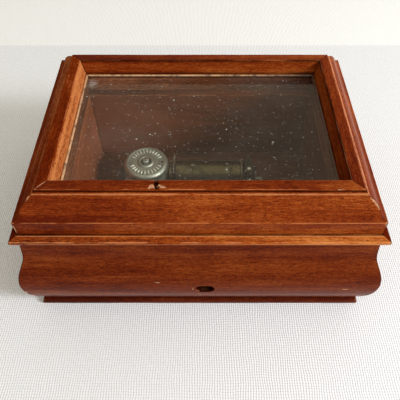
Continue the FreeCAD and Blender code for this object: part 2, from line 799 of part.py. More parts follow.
def make_barrel():
    """The spring barrel: drum with crown teeth, cover and coiled mainspring."""
    centre = ("barrel_offset", "movement_offset", "0")
    bore = "(arbor_radius + running_clearance)"
    inner = "(barrel_radius - drum_wall)"
    split = f"({BARREL_TOP} - cover_height)"
    flange = "(barrel_radius + crown_tooth_start + crown_tooth_length)"
    drum = new_body("drum")
    add_revolution(drum, [
        (bore, DRUM_BOTTOM),
        (flange, DRUM_BOTTOM),
        (flange, CROWN_ROOT),
        ("barrel_radius", CROWN_ROOT),
        ("barrel_radius", split),
        (inner, split),
        (inner, DRUM_FLOOR),
        (bore, DRUM_FLOOR),
    ])
    tip = f"({CROWN_ROOT} + (tooth_dedendum + tooth_addendum) * {CROWN_PITCH})"
    sunk = f"({CROWN_ROOT} - crown_flange / 2)"
    tooth = make_sketch(drum, "YZ_Plane", [[
        (f"-tooth_root_half * {CROWN_PITCH}", sunk),
        (f"tooth_root_half * {CROWN_PITCH}", sunk),
        (f"tooth_root_half * {CROWN_PITCH}", CROWN_ROOT),
        (f"tooth_tip_half * {CROWN_PITCH}", tip),
        (f"-tooth_tip_half * {CROWN_PITCH}", tip),
        (f"-tooth_root_half * {CROWN_PITCH}", CROWN_ROOT),
    ]], "barrel_radius + crown_tooth_start")
    add_ring(drum, add_pad(drum, tooth, "crown_tooth_length - running_clearance"), "crown_teeth")
    node("barrel_drum", place(drum, centre))
    cover = turned("cover_blank", [
        (bore, COVER_BOTTOM),
        (inner, COVER_BOTTOM),
        (inner, split),
        ("barrel_radius", split),
        ("barrel_radius", f"{BARREL_TOP} - cover_edge_radius"),
        ("barrel_radius - cover_edge_radius", BARREL_TOP, -0.4142),
        ("cover_ring_outer", BARREL_TOP),
        ("cover_ring_outer", f"{BARREL_TOP} - cover_ring_depth"),
        ("cover_ring_inner", f"{BARREL_TOP} - cover_ring_depth"),
        ("cover_ring_inner", f"{BARREL_TOP} + cover_boss_height"),
        (bore, f"{BARREL_TOP} + cover_boss_height"),
    ], centre)
    vent = cylinder("vent", "vent_radius", "cover_thickness",
                    ("barrel_offset + vent_offset", "movement_offset", COVER_BOTTOM))
    node("barrel_cover", cut("cover", cover, [vent]))
    node("mainspring", make_mainspring(f"{inner} - running_clearance"))


def make_mainspring(outer):
    """A flat spiral strip of half turns, each a half pitch smaller than the one before."""
    radius = value(outer)
    thickness = value("strip_thickness")
    turns = round(value("2 * coil_turns"))
    step = (radius - value("arbor_hub_radius + coil_hub_gap + strip_thickness")) / turns
    edges = {0: [], thickness: []}
    for index in range(turns):
        sign = -1 if index % 2 else 1
        centre = -step if index % 2 else 0
        for depth, side in edges.items():
            reach = radius - index * step - depth
            points = [(centre + sign * reach, 0), (centre, sign * reach), (centre - sign * reach, 0)]
            side.append(Part.Arc(*(FreeCAD.Vector(x, y, 0) for x, y in points)).toShape())
    ends = [
        Part.makeLine(*(side[index].Vertexes[-1 if index else 0].Point for side in edges.values()))
        for index in (0, -1)
    ]
    strip = Part.Face(Part.Wire(edges[0] + [ends[-1]] + edges[thickness][::-1] + [ends[0]]))
    height = value(f"{COVER_BOTTOM} - {DRUM_FLOOR} - axial_gap")
    spring = doc.addObject("Part::Feature", "spiral")
    spring.Shape = strip.extrude(FreeCAD.Vector(0, 0, height))
    return place(spring, ("barrel_offset", "movement_offset", DRUM_FLOOR))


def make_winding():
    """The winding arbor with its ratchet and its key."""
    centre = ("barrel_offset", "movement_offset", "0")
    key_top = "(key_floor_gap + key_height)"
    arbor_end = f"({key_top} - key_bore_depth)"
    arbor_top = f"({BARREL_TOP} + cover_boss_height + arbor_tip_height)"
    arbor = turned("arbor_blank", [
        ("0", arbor_end),
        ("arbor_radius", arbor_end),
        ("arbor_radius", f"{DRUM_FLOOR} + axial_gap"),
        ("arbor_hub_radius", f"{DRUM_FLOOR} + axial_gap"),
        ("arbor_hub_radius", f"{COVER_BOTTOM} - axial_gap"),
        ("arbor_radius", f"{COVER_BOTTOM} - axial_gap"),
        ("arbor_radius", arbor_top),
        ("0", arbor_top),
    ], centre)
    slot = box("slot", ("barrel_offset - arbor_radius", "movement_offset - arbor_slot_width / 2",
                        f"{arbor_top} - arbor_slot_depth"),
               ("2 * arbor_radius", "arbor_slot_width", "arbor_slot_depth"))
    arbor = node("winding_arbor", cut("arbor", arbor, [slot]))

    ratchet = new_body("ratchet")
    add_revolution(ratchet, [("arbor_radius", "0"), ("ratchet_root_radius", "0"),
                             ("ratchet_root_radius", "ratchet_thickness"), ("arbor_radius", "ratchet_thickness")])
    heel = "(90 - ratchet_slope_share * 360 / ratchet_teeth)"
    sunk = "(ratchet_root_radius - axial_gap)"
    tooth = make_sketch(ratchet, "XY_Plane", [[
        ("0", sunk),
        along(sunk, "0", heel),
        along("ratchet_root_radius", "0", heel),
        ("0", "ratchet_tip_radius"),
    ]])
    add_ring(ratchet, add_pad(ratchet, tooth, "ratchet_thickness"), "ratchet_teeth")
    node("ratchet_wheel", place(ratchet, ("barrel_offset", "movement_offset", RATCHET_BOTTOM)))

    hub = cylinder("key_hub", "key_hub_radius", "key_height", ("barrel_offset", "movement_offset", "key_floor_gap"))
    wing = box("key_wing", ("barrel_offset - key_wing_span / 2", "movement_offset - key_wing_thickness / 2",
                            "key_floor_gap"), ("key_wing_span", "key_wing_thickness", "key_height"))
    node("winding_key", cut("key", fuse("key_blank", [hub, wing]), [arbor]))


def make_click():
    """The click in the ratchet's teeth, its stud and its leaf spring."""
    stud_x = "(barrel_offset - click_stud_side)"
    stud_y = "(movement_offset + click_stud_back)"
    nose_low = "(ratchet_root_radius + axial_gap)"
    nose_right = "(-axial_gap)"
    tip_clear = "(ratchet_tip_radius * sin((90 + 360 / ratchet_teeth) * 1deg) + axial_gap)"
    tip_x = "(-ratchet_tip_radius * cos((90 - 360 / ratchet_teeth) * 1deg))"
    arm = plate("click_arm", [
        (nose_right, nose_low),
        (nose_right, f"{nose_low} + click_width"),
        ("-click_stud_side", "click_stud_back + click_arm_half_width"),
        ("-click_stud_side", "click_stud_back - click_arm_half_width"),
        (tip_x, tip_clear),
    ], "ratchet_thickness", ("barrel_offset", "movement_offset", RATCHET_BOTTOM))
    boss = cylinder("click_boss", "click_boss_radius", "ratchet_thickness", (stud_x, stud_y, RATCHET_BOTTOM))
    bore = cylinder("click_bore", "click_stud_radius + running_clearance", "ratchet_thickness",
                    (stud_x, stud_y, RATCHET_BOTTOM))
    node("click", cut("click_bored", fuse("click_blank", [arm, boss]), [bore]))
    node("click_stud", cylinder("stud", "click_stud_radius", "sheet_gap + ratchet_thickness",
                                (stud_x, stud_y, BED_TOP)))
    node("click_spring", box("click_leaf", (f"{stud_x} - click_spring_length / 4",
                                            f"{stud_y} + click_boss_radius + sheet_gap", BED_TOP),
                             ("click_spring_length", "click_spring_thickness", "sheet_gap + ratchet_thickness")))


def make_cylinder():
    """The pinned cylinder, its arbor and the two wheels on it."""
    axis = ("movement_offset", AXLE_Z)
    inner = "(cylinder_radius - cylinder_wall)"
    node("cylinder_tube", turned("tube", [
        (inner, "0"), ("cylinder_radius", "0"), ("cylinder_radius", "cylinder_length"),
        (inner, "cylinder_length"),
    ], (CYLINDER_X, *axis), ALONG_X))
    caps = [
        turned("cap", [("cylinder_arbor_radius", "0"), (inner, "0"), (inner, "end_cap_thickness"),
                       ("cylinder_arbor_radius", "end_cap_thickness")], (start, *axis), ALONG_X)
        for start in (CYLINDER_X, f"{CYLINDER_END} - end_cap_thickness")
    ]
    node("cylinder_end_caps", group("caps", caps))
    start = f"({DRIVE_X} - drive_face / 2 - sheet_gap)"
    stop = f"({FRAME_X} + bracket_thickness + cylinder_arbor_overhang)"
    node("cylinder_arbor", cylinder("cylinder_shaft", "cylinder_arbor_radius", f"{stop} - {start}",
                                    (start, *axis), ALONG_X))
    node("drive_gear", toothed_wheel("drive", "drive_teeth", DRIVE_RADIUS, "drive_face", "cylinder_arbor_radius",
                                     "180 / drive_teeth", (f"{DRIVE_X} - drive_face / 2", *axis)))
    node("cylinder_wheel", toothed_wheel("great_wheel", "wheel_teeth", WHEEL_RADIUS, "wheel_face",
                                         "cylinder_arbor_radius", "-mesh_angle", (WHEEL_X, *axis)))


def make_governor():
    """The pinion and worm wheel on the second arbor, the worm shaft and its fly, and the cap."""
    axis = (GOVERNOR_Y, GOVERNOR_Z)
    node("governor_arbor", cylinder("governor_shaft", "governor_arbor_radius", f"{FRAME_END} - {WHEEL_X}",
                                    (WHEEL_X, *axis), ALONG_X))
    node("governor_pinion", toothed_wheel("pinion", "pinion_teeth", PINION_RADIUS, "wheel_face",
                                          "governor_arbor_radius", "180 - mesh_angle + 180 / pinion_teeth",
                                          (WHEEL_X, *axis)))
    node("worm_wheel", toothed_wheel("worm_gear", "worm_wheel_teeth", "worm_wheel_radius", "worm_wheel_face",
                                     "governor_arbor_radius", "90",
                                     (f"{WORM_X} - worm_wheel_face / 2", *axis)))
    core = f"(worm_radius - tooth_dedendum * {WORM_PITCH})"
    crest = f"(worm_radius + tooth_addendum * {WORM_PITCH})"
    arm_bottom = f"({FRAME_TOP} - arm_thickness)"
    foot_bottom = BED_TOP
    length = f"((worm_turns + 1) * {WORM_PITCH})"
    start = f"({GOVERNOR_Z} - {length} / 2 - {WORM_PITCH} / 4)"
    worm = new_body("worm")
    add_revolution(worm, [
        ("0", foot_bottom),
        ("pivot_radius", foot_bottom),
        ("pivot_radius", start),
        (core, start),
        (core, f"{start} + {length}"),
        ("pivot_radius", f"{start} + {length}"),
        ("pivot_radius", FRAME_TOP),
        ("0", FRAME_TOP),
    ])
    first = f"({GOVERNOR_Z} - (worm_turns / 2 + 0.25) * {WORM_PITCH})"
    thread = make_sketch(worm, "XZ_Plane", [[
        (f"{core} - running_clearance", f"{first} - tooth_root_half * {WORM_PITCH}"),
        (core, f"{first} - tooth_root_half * {WORM_PITCH}"),
        (crest, f"{first} - tooth_tip_half * {WORM_PITCH}"),
        (crest, f"{first} + tooth_tip_half * {WORM_PITCH}"),
        (core, f"{first} + tooth_root_half * {WORM_PITCH}"),
        (f"{core} - running_clearance", f"{first} + tooth_root_half * {WORM_PITCH}"),
    ]])
    helix = worm.newObject("PartDesign::AdditiveHelix", "helix")
    helix.Profile = thread
    helix.ReferenceAxis = (thread, ["V_Axis"])
    helix.Mode = "pitch-height-angle"
    helix.setExpression("Pitch", bound(WORM_PITCH))
    helix.setExpression("Height", bound(f"worm_turns * {WORM_PITCH}"))
    worm.Tip = helix
    worm = node("worm_shaft", place(worm, (WORM_X, WORM_Y, "0")))

    fly_low = f"({arm_bottom} - fly_drop - fly_height)"
    vane = box("vane", (f"{WORM_X} - fly_thickness / 2", f"{WORM_Y} - fly_radius", fly_low),
               ("fly_thickness", "2 * fly_radius", "fly_height"))
    hub = cylinder("fly_hub", "fly_hub_radius", "fly_height", (WORM_X, WORM_Y, fly_low))
    node("fly", cut("fly_bored", fuse("fly_blank", [vane, hub]), [worm]))
    node("governor_cap", turned("cap_dome", [
        ("0", FRAME_TOP),
        ("cap_radius", FRAME_TOP),
        ("cap_radius / 3", f"{FRAME_TOP} + cap_height", -0.25),
        ("0", f"{FRAME_TOP} + cap_height"),
    ], (WORM_X, WORM_Y, "0")))


def make_brackets():
    """The left bearing bracket, the governor frame and the rivets that hold them to the bedplate."""
    left = [
        box("bracket_plate", (BRACKET_X, "movement_offset - bracket_front", BED_TOP),
            ("bracket_thickness", "bracket_front + bracket_back", f"{AXLE_Z} + bracket_top - {BED_TOP}")),
        box("bracket_foot", (BRACKET_X, "movement_offset - bracket_front", BED_TOP),
            ("foot_length", "bracket_front + bracket_back", "foot_thickness")),
    ]
    frame_depth = f"({FRAME_BACK} - {FRAME_FRONT})"
    plate_top = f"({AXLE_Z} + frame_plate_rise)"
    frame = [
        box("frame_foot", (FRAME_X, FRAME_FRONT, BED_TOP),
            (f"{FRAME_END} - {FRAME_X}", frame_depth, "foot_thickness")),
        box("frame_plate", (FRAME_X, FRAME_FRONT, BED_TOP),
            ("bracket_thickness", frame_depth, f"{plate_top} - {BED_TOP}")),
        box("frame_lug", (LUG_X, FRAME_FRONT, BED_TOP),
            ("bracket_thickness", "2 * lug_margin", f"{GOVERNOR_Z} + lug_margin - {BED_TOP}")),
        box("frame_web", (f"{WORM_X} - arm_half_width", f"{FRAME_BACK} - web_thickness", BED_TOP),
            ("2 * arm_half_width", "web_thickness", f"{FRAME_TOP} - {BED_TOP}")),
        box("frame_arm", (f"{WORM_X} - arm_half_width", f"{WORM_Y} - arm_half_width",
                          f"{FRAME_TOP} - arm_thickness"),
            ("2 * arm_half_width", f"{FRAME_BACK} - {WORM_Y} + arm_half_width", "arm_thickness")),
    ]
    rivets = []
    for x, y in (
        (f"{BRACKET_X} + foot_length - 2 * rivet_radius", "movement_offset - bracket_front + 2 * rivet_radius"),
        (f"{BRACKET_X} + foot_length - 2 * rivet_radius", "movement_offset + bracket_back - 2 * rivet_radius"),
        (WORM_X, f"{FRAME_FRONT} + 2 * rivet_radius"),
        (WORM_X, f"{FRAME_BACK} - web_thickness - 2 * rivet_radius"),
    ):
        shank = cylinder("rivet_shank", "rivet_radius", "bed_thickness + foot_thickness", (x, y, FLOOR))
        head = cylinder("rivet_head", "rivet_head_radius", "rivet_head_height", (x, y, FOOT_TOP))
        rivets.append(fuse("rivet", [shank, head]))
    rivets = node("bracket_rivets", group("rivets", rivets))
    reach = f"({FRAME_END} - {BRACKET_X})"
    axle_bore = cylinder("axle_bore", "cylinder_arbor_radius + running_clearance", reach,
                         (BRACKET_X, "movement_offset", AXLE_Z), ALONG_X)
    arbor_bore = cylinder("governor_bore", "governor_arbor_radius + running_clearance",
                          f"{FRAME_END} - {FRAME_X}", (FRAME_X, GOVERNOR_Y, GOVERNOR_Z), ALONG_X)
    worm_bore = cylinder("worm_bore", "pivot_radius + running_clearance", f"{FRAME_TOP} - {BED_TOP}",
                         (WORM_X, WORM_Y, BED_TOP))
    node("left_bracket", cut("bracket", fuse("bracket_blank", left), [axle_bore, rivets]))
    node("governor_frame", cut("frame", fuse("frame_blank", frame), [axle_bore, arbor_bore, worm_bore, rivets]))
    return rivets


def make_comb(movement_screws):
    """The comb, its block and its screws."""
    screw_y = "(comb_screw_setback - comb_back + " + COMB_TIP + ")"
    screws = []
    for share in (-0.5, 0, 0.5):
        x = f"{COMB_X} + {COMB_LENGTH} / 2 + {share} * comb_screw_span"
        shank = cylinder("shank", "comb_screw_radius", "comb_thickness + comb_screw_depth",
                         (x, screw_y, f"{COMB_BOTTOM} - comb_screw_depth"))
        head = cylinder("head", "comb_screw_head_radius", "comb_screw_head_height",
                        (x, screw_y, f"{COMB_BOTTOM} + comb_thickness"))
        slot = box("driver_slot", (f"{x} - comb_screw_head_radius", f"{screw_y} - arbor_slot_width / 2",
                                   f"{COMB_BOTTOM} + comb_thickness + comb_screw_head_height / 2"),
                   ("2 * comb_screw_head_radius", "arbor_slot_width", "comb_screw_head_height / 2"))
        screws.append(cut("comb_screw", fuse("comb_screw_blank", [shank, head]), [slot]))
    screws = node("comb_screws", group("screws", screws))
    pitch = f"({COMB_LENGTH} / comb_teeth)"
    comb = new_body("comb_blank")
    add_pad(comb, make_sketch(comb, "XY_Plane", [[
        ("0", "-comb_back"), (COMB_LENGTH, "-comb_back"), (COMB_LENGTH, "0"), ("0", "0"),
    ]]), "comb_thickness")
    first = make_sketch(comb, "XY_Plane", [[
        (f"{pitch} - comb_slot_width / 2", "-comb_tooth_length"),
        (f"{pitch} + comb_slot_width / 2", "-comb_tooth_length"),
        (f"{pitch} + comb_slot_width / 2", "tip_gap"),
        (f"{pitch} - comb_slot_width / 2", "tip_gap"),
    ]])
    slots = comb.newObject("PartDesign::LinearPattern", "slots")
    slots.Originals = [add_pocket(comb, first)]
    slots.Direction = (first, ["H_Axis"])
    slots.setExpression("Length", bound(f"(comb_teeth - 2) * {pitch}"))
    slots.setExpression("Occurrences", bound("comb_teeth - 1"))
    comb.Tip = slots
    place(comb, (COMB_X, COMB_TIP, COMB_BOTTOM))
    node("comb", cut("comb_bored", comb, [screws]))
    block = box("block_blank", (f"{COMB_X} - block_margin", "-block_front", BED_TOP),
                (f"{COMB_LENGTH} + 2 * block_margin", "block_front + block_back", f"{COMB_BOTTOM} - {BED_TOP}"))
    return block, [screws, movement_screws]


def make_stop_slide(block, block_tools):
    """The slide that brakes the fly, worked by a finger in the front slot, and its two screws."""
    low = ("0", "0", COMB_BOTTOM)
    finger_x = "(slot_offset - slide_travel / 2)"
    bar_back = "(slide_width - slide_front)"
    arm_right = f"({SLIDE_ARM_X} + slide_arm_width)"
    sheet_metal = plate("slide_sheet", [
        (f"{finger_x} - slide_start", "-slide_front"),
        (f"{finger_x} - finger_width / 2", "-slide_front"),
        (f"{finger_x} - finger_width / 2", "-slide_front - finger_length"),
        (f"{finger_x} + finger_width / 2", "-slide_front - finger_length", -0.8),
        (f"{finger_x} + finger_width / 2", "-slide_front"),
        (arm_right, "-slide_front"),
        (arm_right, f"{WORM_Y} + brake_width / 2"),
        (BRAKE_X, f"{WORM_Y} + brake_width / 2"),
        (BRAKE_X, f"{WORM_Y} - brake_width / 2"),
        (SLIDE_ARM_X, f"{WORM_Y} - brake_width / 2"),
        (SLIDE_ARM_X, bar_back),
        (f"{finger_x} - slide_start", bar_back),
    ], "slide_thickness", low)
    brake = box("brake", (BRAKE_X, f"{WORM_Y} - brake_width / 2", COMB_BOTTOM),
                ("brake_thickness", "brake_width", "slide_thickness + brake_height"))
    screw_y = "(slide_width / 2 - slide_front)"
    slots = []
    screws = []
    for step in (0, 1):
        x = f"({finger_x} + slide_screw_offset + {step} * slide_screw_span)"
        radius = "(slide_screw_radius + running_clearance)"
        slots.append(box("guide", (f"{x} - slide_travel", f"{screw_y} - {radius}", COMB_BOTTOM),
                         ("slide_travel", f"2 * {radius}", "slide_thickness")))
        for end in (f"{x} - slide_travel", x):
            slots.append(cylinder("guide_end", radius, "slide_thickness", (end, screw_y, COMB_BOTTOM)))
        shank = cylinder("shank", "slide_screw_radius",
                         "slide_screw_depth + slide_thickness + running_clearance",
                         (x, screw_y, f"{COMB_BOTTOM} - slide_screw_depth"))
        head = cylinder("head", "slide_screw_head_radius", "slide_screw_head_height",
                        (x, screw_y, f"{SLIDE_TOP} + running_clearance"))
        screws.append(fuse("slide_screw", [shank, head]))
    screws = node("slide_screws", group("screws", screws))
    node("stop_slide", cut("slide", fuse("slide_blank", [sheet_metal, brake]), slots))
    node("comb_block", cut("block", block, block_tools + [screws]))


def write_parts():
    """Checks every object and every piece, then writes one file for each piece."""
    failed = [obj.Label for obj in doc.Objects if {"Invalid", "Error"} & set(obj.State)]
    failed += [obj.Label for obj in nodes if obj.Shape.isNull() or not obj.Shape.isValid()]
    if failed:
        raise RuntimeError(f"failed to build: {', '.join(failed)}")
    os.makedirs("parts", exist_ok=True)
    for obj in nodes:
        obj.Shape.exportStep(f"parts/{obj.Label}.step")


board, board_tools = make_plinth()
lid_tools, rim_tools = make_hinges()
make_walls(rim_tools[1])
make_rim(rim_tools)
make_lid(lid_tools)
bed, movement_screws, arbor_bore = make_bedplate(board, board_tools)
make_barrel()
make_winding()
make_click()
make_cylinder()
make_governor()
rivets = make_brackets()
node("bedplate", cut("bed", bed, [movement_screws, arbor_bore, rivets]))
block, block_tools = make_comb(movement_screws)
make_stop_slide(block, block_tools)
doc.recompute()
write_parts()
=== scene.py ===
"""Wind-up music box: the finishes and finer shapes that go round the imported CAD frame.

Lengths are in millimetres up to the moment a mesh is made. +X runs to the right, +Y to the back, where
the lid is hinged, and +Z up. Every new piece is a surface worked out with numpy, or a copy of a CAD
node with its edges softened.
"""

import json
import logging
from collections.abc import Sequence
from dataclasses import dataclass, field, replace
from enum import Enum
from functools import lru_cache
from itertools import product

import bmesh
import bpy
import numpy as np
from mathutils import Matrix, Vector

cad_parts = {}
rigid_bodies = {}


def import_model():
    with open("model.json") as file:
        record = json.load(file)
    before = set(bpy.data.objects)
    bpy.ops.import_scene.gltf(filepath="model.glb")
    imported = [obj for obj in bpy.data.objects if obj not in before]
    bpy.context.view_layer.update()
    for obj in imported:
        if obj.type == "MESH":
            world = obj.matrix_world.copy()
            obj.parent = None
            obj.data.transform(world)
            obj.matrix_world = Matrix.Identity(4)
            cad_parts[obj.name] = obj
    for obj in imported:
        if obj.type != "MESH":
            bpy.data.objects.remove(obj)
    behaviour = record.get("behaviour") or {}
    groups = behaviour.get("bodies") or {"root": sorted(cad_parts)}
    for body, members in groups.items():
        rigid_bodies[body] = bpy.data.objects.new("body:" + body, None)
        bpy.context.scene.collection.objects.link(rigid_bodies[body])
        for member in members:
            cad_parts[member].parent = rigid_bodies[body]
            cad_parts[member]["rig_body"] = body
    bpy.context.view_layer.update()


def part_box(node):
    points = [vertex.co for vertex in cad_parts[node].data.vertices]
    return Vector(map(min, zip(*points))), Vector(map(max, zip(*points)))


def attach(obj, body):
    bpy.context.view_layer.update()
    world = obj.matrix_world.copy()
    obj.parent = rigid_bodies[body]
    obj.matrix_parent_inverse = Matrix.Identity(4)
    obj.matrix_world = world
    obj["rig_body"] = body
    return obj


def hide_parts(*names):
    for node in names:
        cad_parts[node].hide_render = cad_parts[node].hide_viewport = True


MM = 0.001
log = logging.getLogger("music_box")

Colour = tuple[float, float, float]
Triple = tuple[float, float, float]
Pair = tuple[float, float]
Array = np.ndarray

# How many waves make up a surface's noise, and how many steps go round a softened arris.
WAVES = 9
BEVEL_STEPS = 2
# Degrees: where shading turns sharp on a made piece and on a softened CAD node, which edges are softened, and
# up to which angle faces are one flat face.
CREASE = 38.0
SOFTENED_CREASE = 50.0
BEVEL_ANGLE = 30.0
FLAT = 0.4
# Millimetres within which two points are one, on a CAD node and on a cutter.
CAD_MERGE = 0.001
CUTTER_MERGE = 1e-4
# The bulge of a quarter circle: the tangent of a quarter of its angle.
QUARTER_BULGE = 0.4142


# ---- Shader building ----


class Signal:
    """A shader socket with Python operators, each of which adds a Math node."""

    def __init__(self, shader: "Shader", socket: bpy.types.NodeSocket) -> None:
        """Wraps a socket of the shader's tree."""
        self.shader = shader
        self.socket = socket

    def math(self, operation: str, *others: "Signal | float") -> "Signal":
        """One Math node on this value and the others."""
        return self.shader.node("ShaderNodeMath", {"operation": operation}, dict(enumerate((self, *others))))

    def __add__(self, other: "Signal | float") -> "Signal":
        """The sum."""
        return self.math("ADD", other)

    __radd__ = __add__

    def __mul__(self, other: "Signal | float") -> "Signal":
        """The product."""
        return self.math("MULTIPLY", other)

    __rmul__ = __mul__

    def __sub__(self, other: "Signal | float") -> "Signal":
        """The difference."""
        return self.math("SUBTRACT", other)

    def __rsub__(self, other: float) -> "Signal":
        """A number less this value."""
        return (self * -1.0) + other

    def within(self, low: float, high: float) -> "Signal":
        """A smooth step.

        Args:
            low: The value up to which it is 0.
            high: The value from which it is 1; where it is less than low, the step falls.

        Returns:
            The step.
        """
        inputs = {0: self, 1: min(low, high), 2: max(low, high), 3: 0.0, 4: 1.0}
        step = self.shader.node("ShaderNodeMapRange", {"interpolation_type": "SMOOTHSTEP"}, inputs)
        return step if low < high else 1.0 - step

    def least(self, other: "Signal | float") -> "Signal":
        """The smaller of two values."""
        return self.math("MINIMUM", other)

    def most(self, other: "Signal | float") -> "Signal":
        """The larger of two values."""
        return self.math("MAXIMUM", other)


class Shader:
    """The node tree of one material or of the world."""

    def __init__(self, tree: bpy.types.NodeTree) -> None:
        """Empties the tree, ready for new nodes."""
        self.tree = tree
        tree.nodes.clear()

    def node(self, kind: str, settings: dict | None = None, inputs: dict | None = None,
             output: int | str = 0) -> Signal:
        """Adds a node.

        Args:
            kind: The node's type.
            settings: Its properties, set before its sockets. "stops" holds a ramp's (place, colour) pairs.
            inputs: A value or a Signal for each socket, by name or number.
            output: Which output to hand back.

        Returns:
            The output as a Signal.
        """
        made = self.tree.nodes.new(kind)
        for key, setting in (settings or {}).items():
            if key == "stops":
                self._set_stops(made.color_ramp, setting)
            else:
                setattr(made, key, setting)
        for key, given in (inputs or {}).items():
            socket = made.inputs[key]
            if isinstance(given, Signal):
                self.tree.links.new(given.socket, socket)
            elif isinstance(given, tuple) and socket.type == "RGBA":
                socket.default_value = (*given, 1.0)[:4]
            else:
                socket.default_value = given
        return Signal(self, made.outputs[output]) if made.outputs else Signal(self, None)

    @staticmethod
    def _set_stops(ramp: bpy.types.ColorRamp, stops: Sequence[tuple[float, Colour]]) -> None:
        """Puts stops into a colour ramp.

        Args:
            ramp: The ramp.
            stops: Each stop's place and colour.
        """
        while len(ramp.elements) < len(stops):
            ramp.elements.new(0.5)
        for element, (place, colour) in zip(ramp.elements, stops):
            element.position = place
            element.color = (*colour, 1.0)

    def place(self, scale: float | Sequence[float] = 1.0, shift: Sequence[float] = (0, 0, 0)) -> Signal:
        """Object coordinates, stretched and shifted for one pattern.

        Args:
            scale: Repeats per millimetre, one number for all axes or one for each.
            shift: How far the pattern is moved, in repeats.

        Returns:
            The coordinates.
        """
        here = self.node("ShaderNodeTexCoord", output="Object")
        inputs = {"Vector": here, "Location": tuple(shift), "Scale": tuple(np.broadcast_to(scale, 3) / MM)}
        return self.node("ShaderNodeMapping", {"vector_type": "POINT"}, inputs)

    def along(self, axis: str) -> Signal:
        """How far a point lies along an axis, in millimetres."""
        return self.node("ShaderNodeSeparateXYZ", {}, {0: self.place()}, axis)

    def noise(self, where: Signal, detail: float = 2.0, roughness: float = 0.5, distortion: float = 0.0) -> Signal:
        """Fractal noise from 0 to 1."""
        inputs = {"Vector": where, "Scale": 1.0, "Detail": detail, "Roughness": roughness,
                  "Distortion": distortion}
        return self.node("ShaderNodeTexNoise", {"noise_dimensions": "3D"}, inputs)

    def cells(self, where: Signal) -> Signal:
        """A Voronoi pattern: the distance to the nearest cell's middle."""
        return self.node("ShaderNodeTexVoronoi", {}, {"Vector": where, "Scale": 1.0}, "Distance")

    def mark(self, name: str) -> Signal:
        """A value that the piece carries at its points."""
        return self.node("ShaderNodeAttribute", {"attribute_name": name}, output="Fac")

    def mix(self, share: Signal | float, first: Signal | Colour, second: Signal | Colour) -> Signal:
        """Two colours mixed by a share of the second."""
        return self.node("ShaderNodeMix", {"data_type": "RGBA"}, {0: share, 6: first, 7: second}, 2)

    def ramp(self, value: Signal, stops: Sequence[tuple[float, Colour]]) -> Signal:
        """A colour for each value."""
        return self.node("ShaderNodeValToRGB", {"stops": stops}, {0: value})

    def bump(self, height: Signal, depth_mm: float, under: Signal | None = None) -> Signal:
        """A normal that follows a height.

        Args:
            height: The height, from 0 to 1.
            depth_mm: How deep its full range is, in millimetres.
            under: A normal that it is laid over.

        Returns:
            The normal.
        """
        inputs = {"Height": height, "Distance": depth_mm * MM, "Strength": 1.0}
        if under is not None:
            inputs["Normal"] = under
        return self.node("ShaderNodeBump", {}, inputs)

    def surface(self, inputs: dict) -> None:
        """Ends the material in one Principled shader."""
        self.show(self.node("ShaderNodeBsdfPrincipled", {}, inputs))

    def show(self, shader: Signal) -> None:
        """Sends a shader to the material's output."""
        self.node("ShaderNodeOutputMaterial", {}, {"Surface": shader})


class Grain(Enum):
    """The way that a piece's grain or brushing runs."""

    X = 0
    Y = 1
    Z = 2

    def stretch(self, along: float, across: float) -> tuple[float, ...]:
        """A pattern's scale, in repeats per millimetre along the grain and across it."""
        return tuple(along if axis == self.value else across for axis in range(3))


@dataclass(frozen=True)
class Finish:
    """What a piece is coated with or made of. Each kind of finish paints its own node tree."""

    name: str

    def paint(self, shader: Shader) -> None:
        """Builds the node tree in an emptied shader."""
        raise NotImplementedError

    def material(self) -> bpy.types.Material:
        """The material, made once for each set of values."""
        return _material(self)


@lru_cache(maxsize=None)
def _material(finish: Finish) -> bpy.types.Material:
    """Makes a finish's material the first time that it is asked for.

    Args:
        finish: The finish.

    Returns:
        Its material.
    """
    material = bpy.data.materials.new(finish.name)
    material.use_nodes = True
    finish.paint(Shader(material.node_tree))
    return material


@dataclass(frozen=True)
class Streak:
    """Noise drawn out along the grain, with repeats per millimetre, and its share of the wood's tone."""

    along: float
    across: float
    detail: float
    distortion: float = 0.0
    share: float = 0.0


FIGURE = Streak(0.010, 0.11, 3.0, 0.8, 0.30)
RIBBON = Streak(0.035, 0.75, 2.0, 0.4, 0.15)
FIBRE = Streak(0.30, 2.1, 3.0, share=0.27)
GRIT = Streak(0.9, 3.4, 2.0, share=0.30)
PORES = Streak(0.36, 3.9, 1.0)
SPLINTERS = Streak(0.5, 2.4, 3.0)


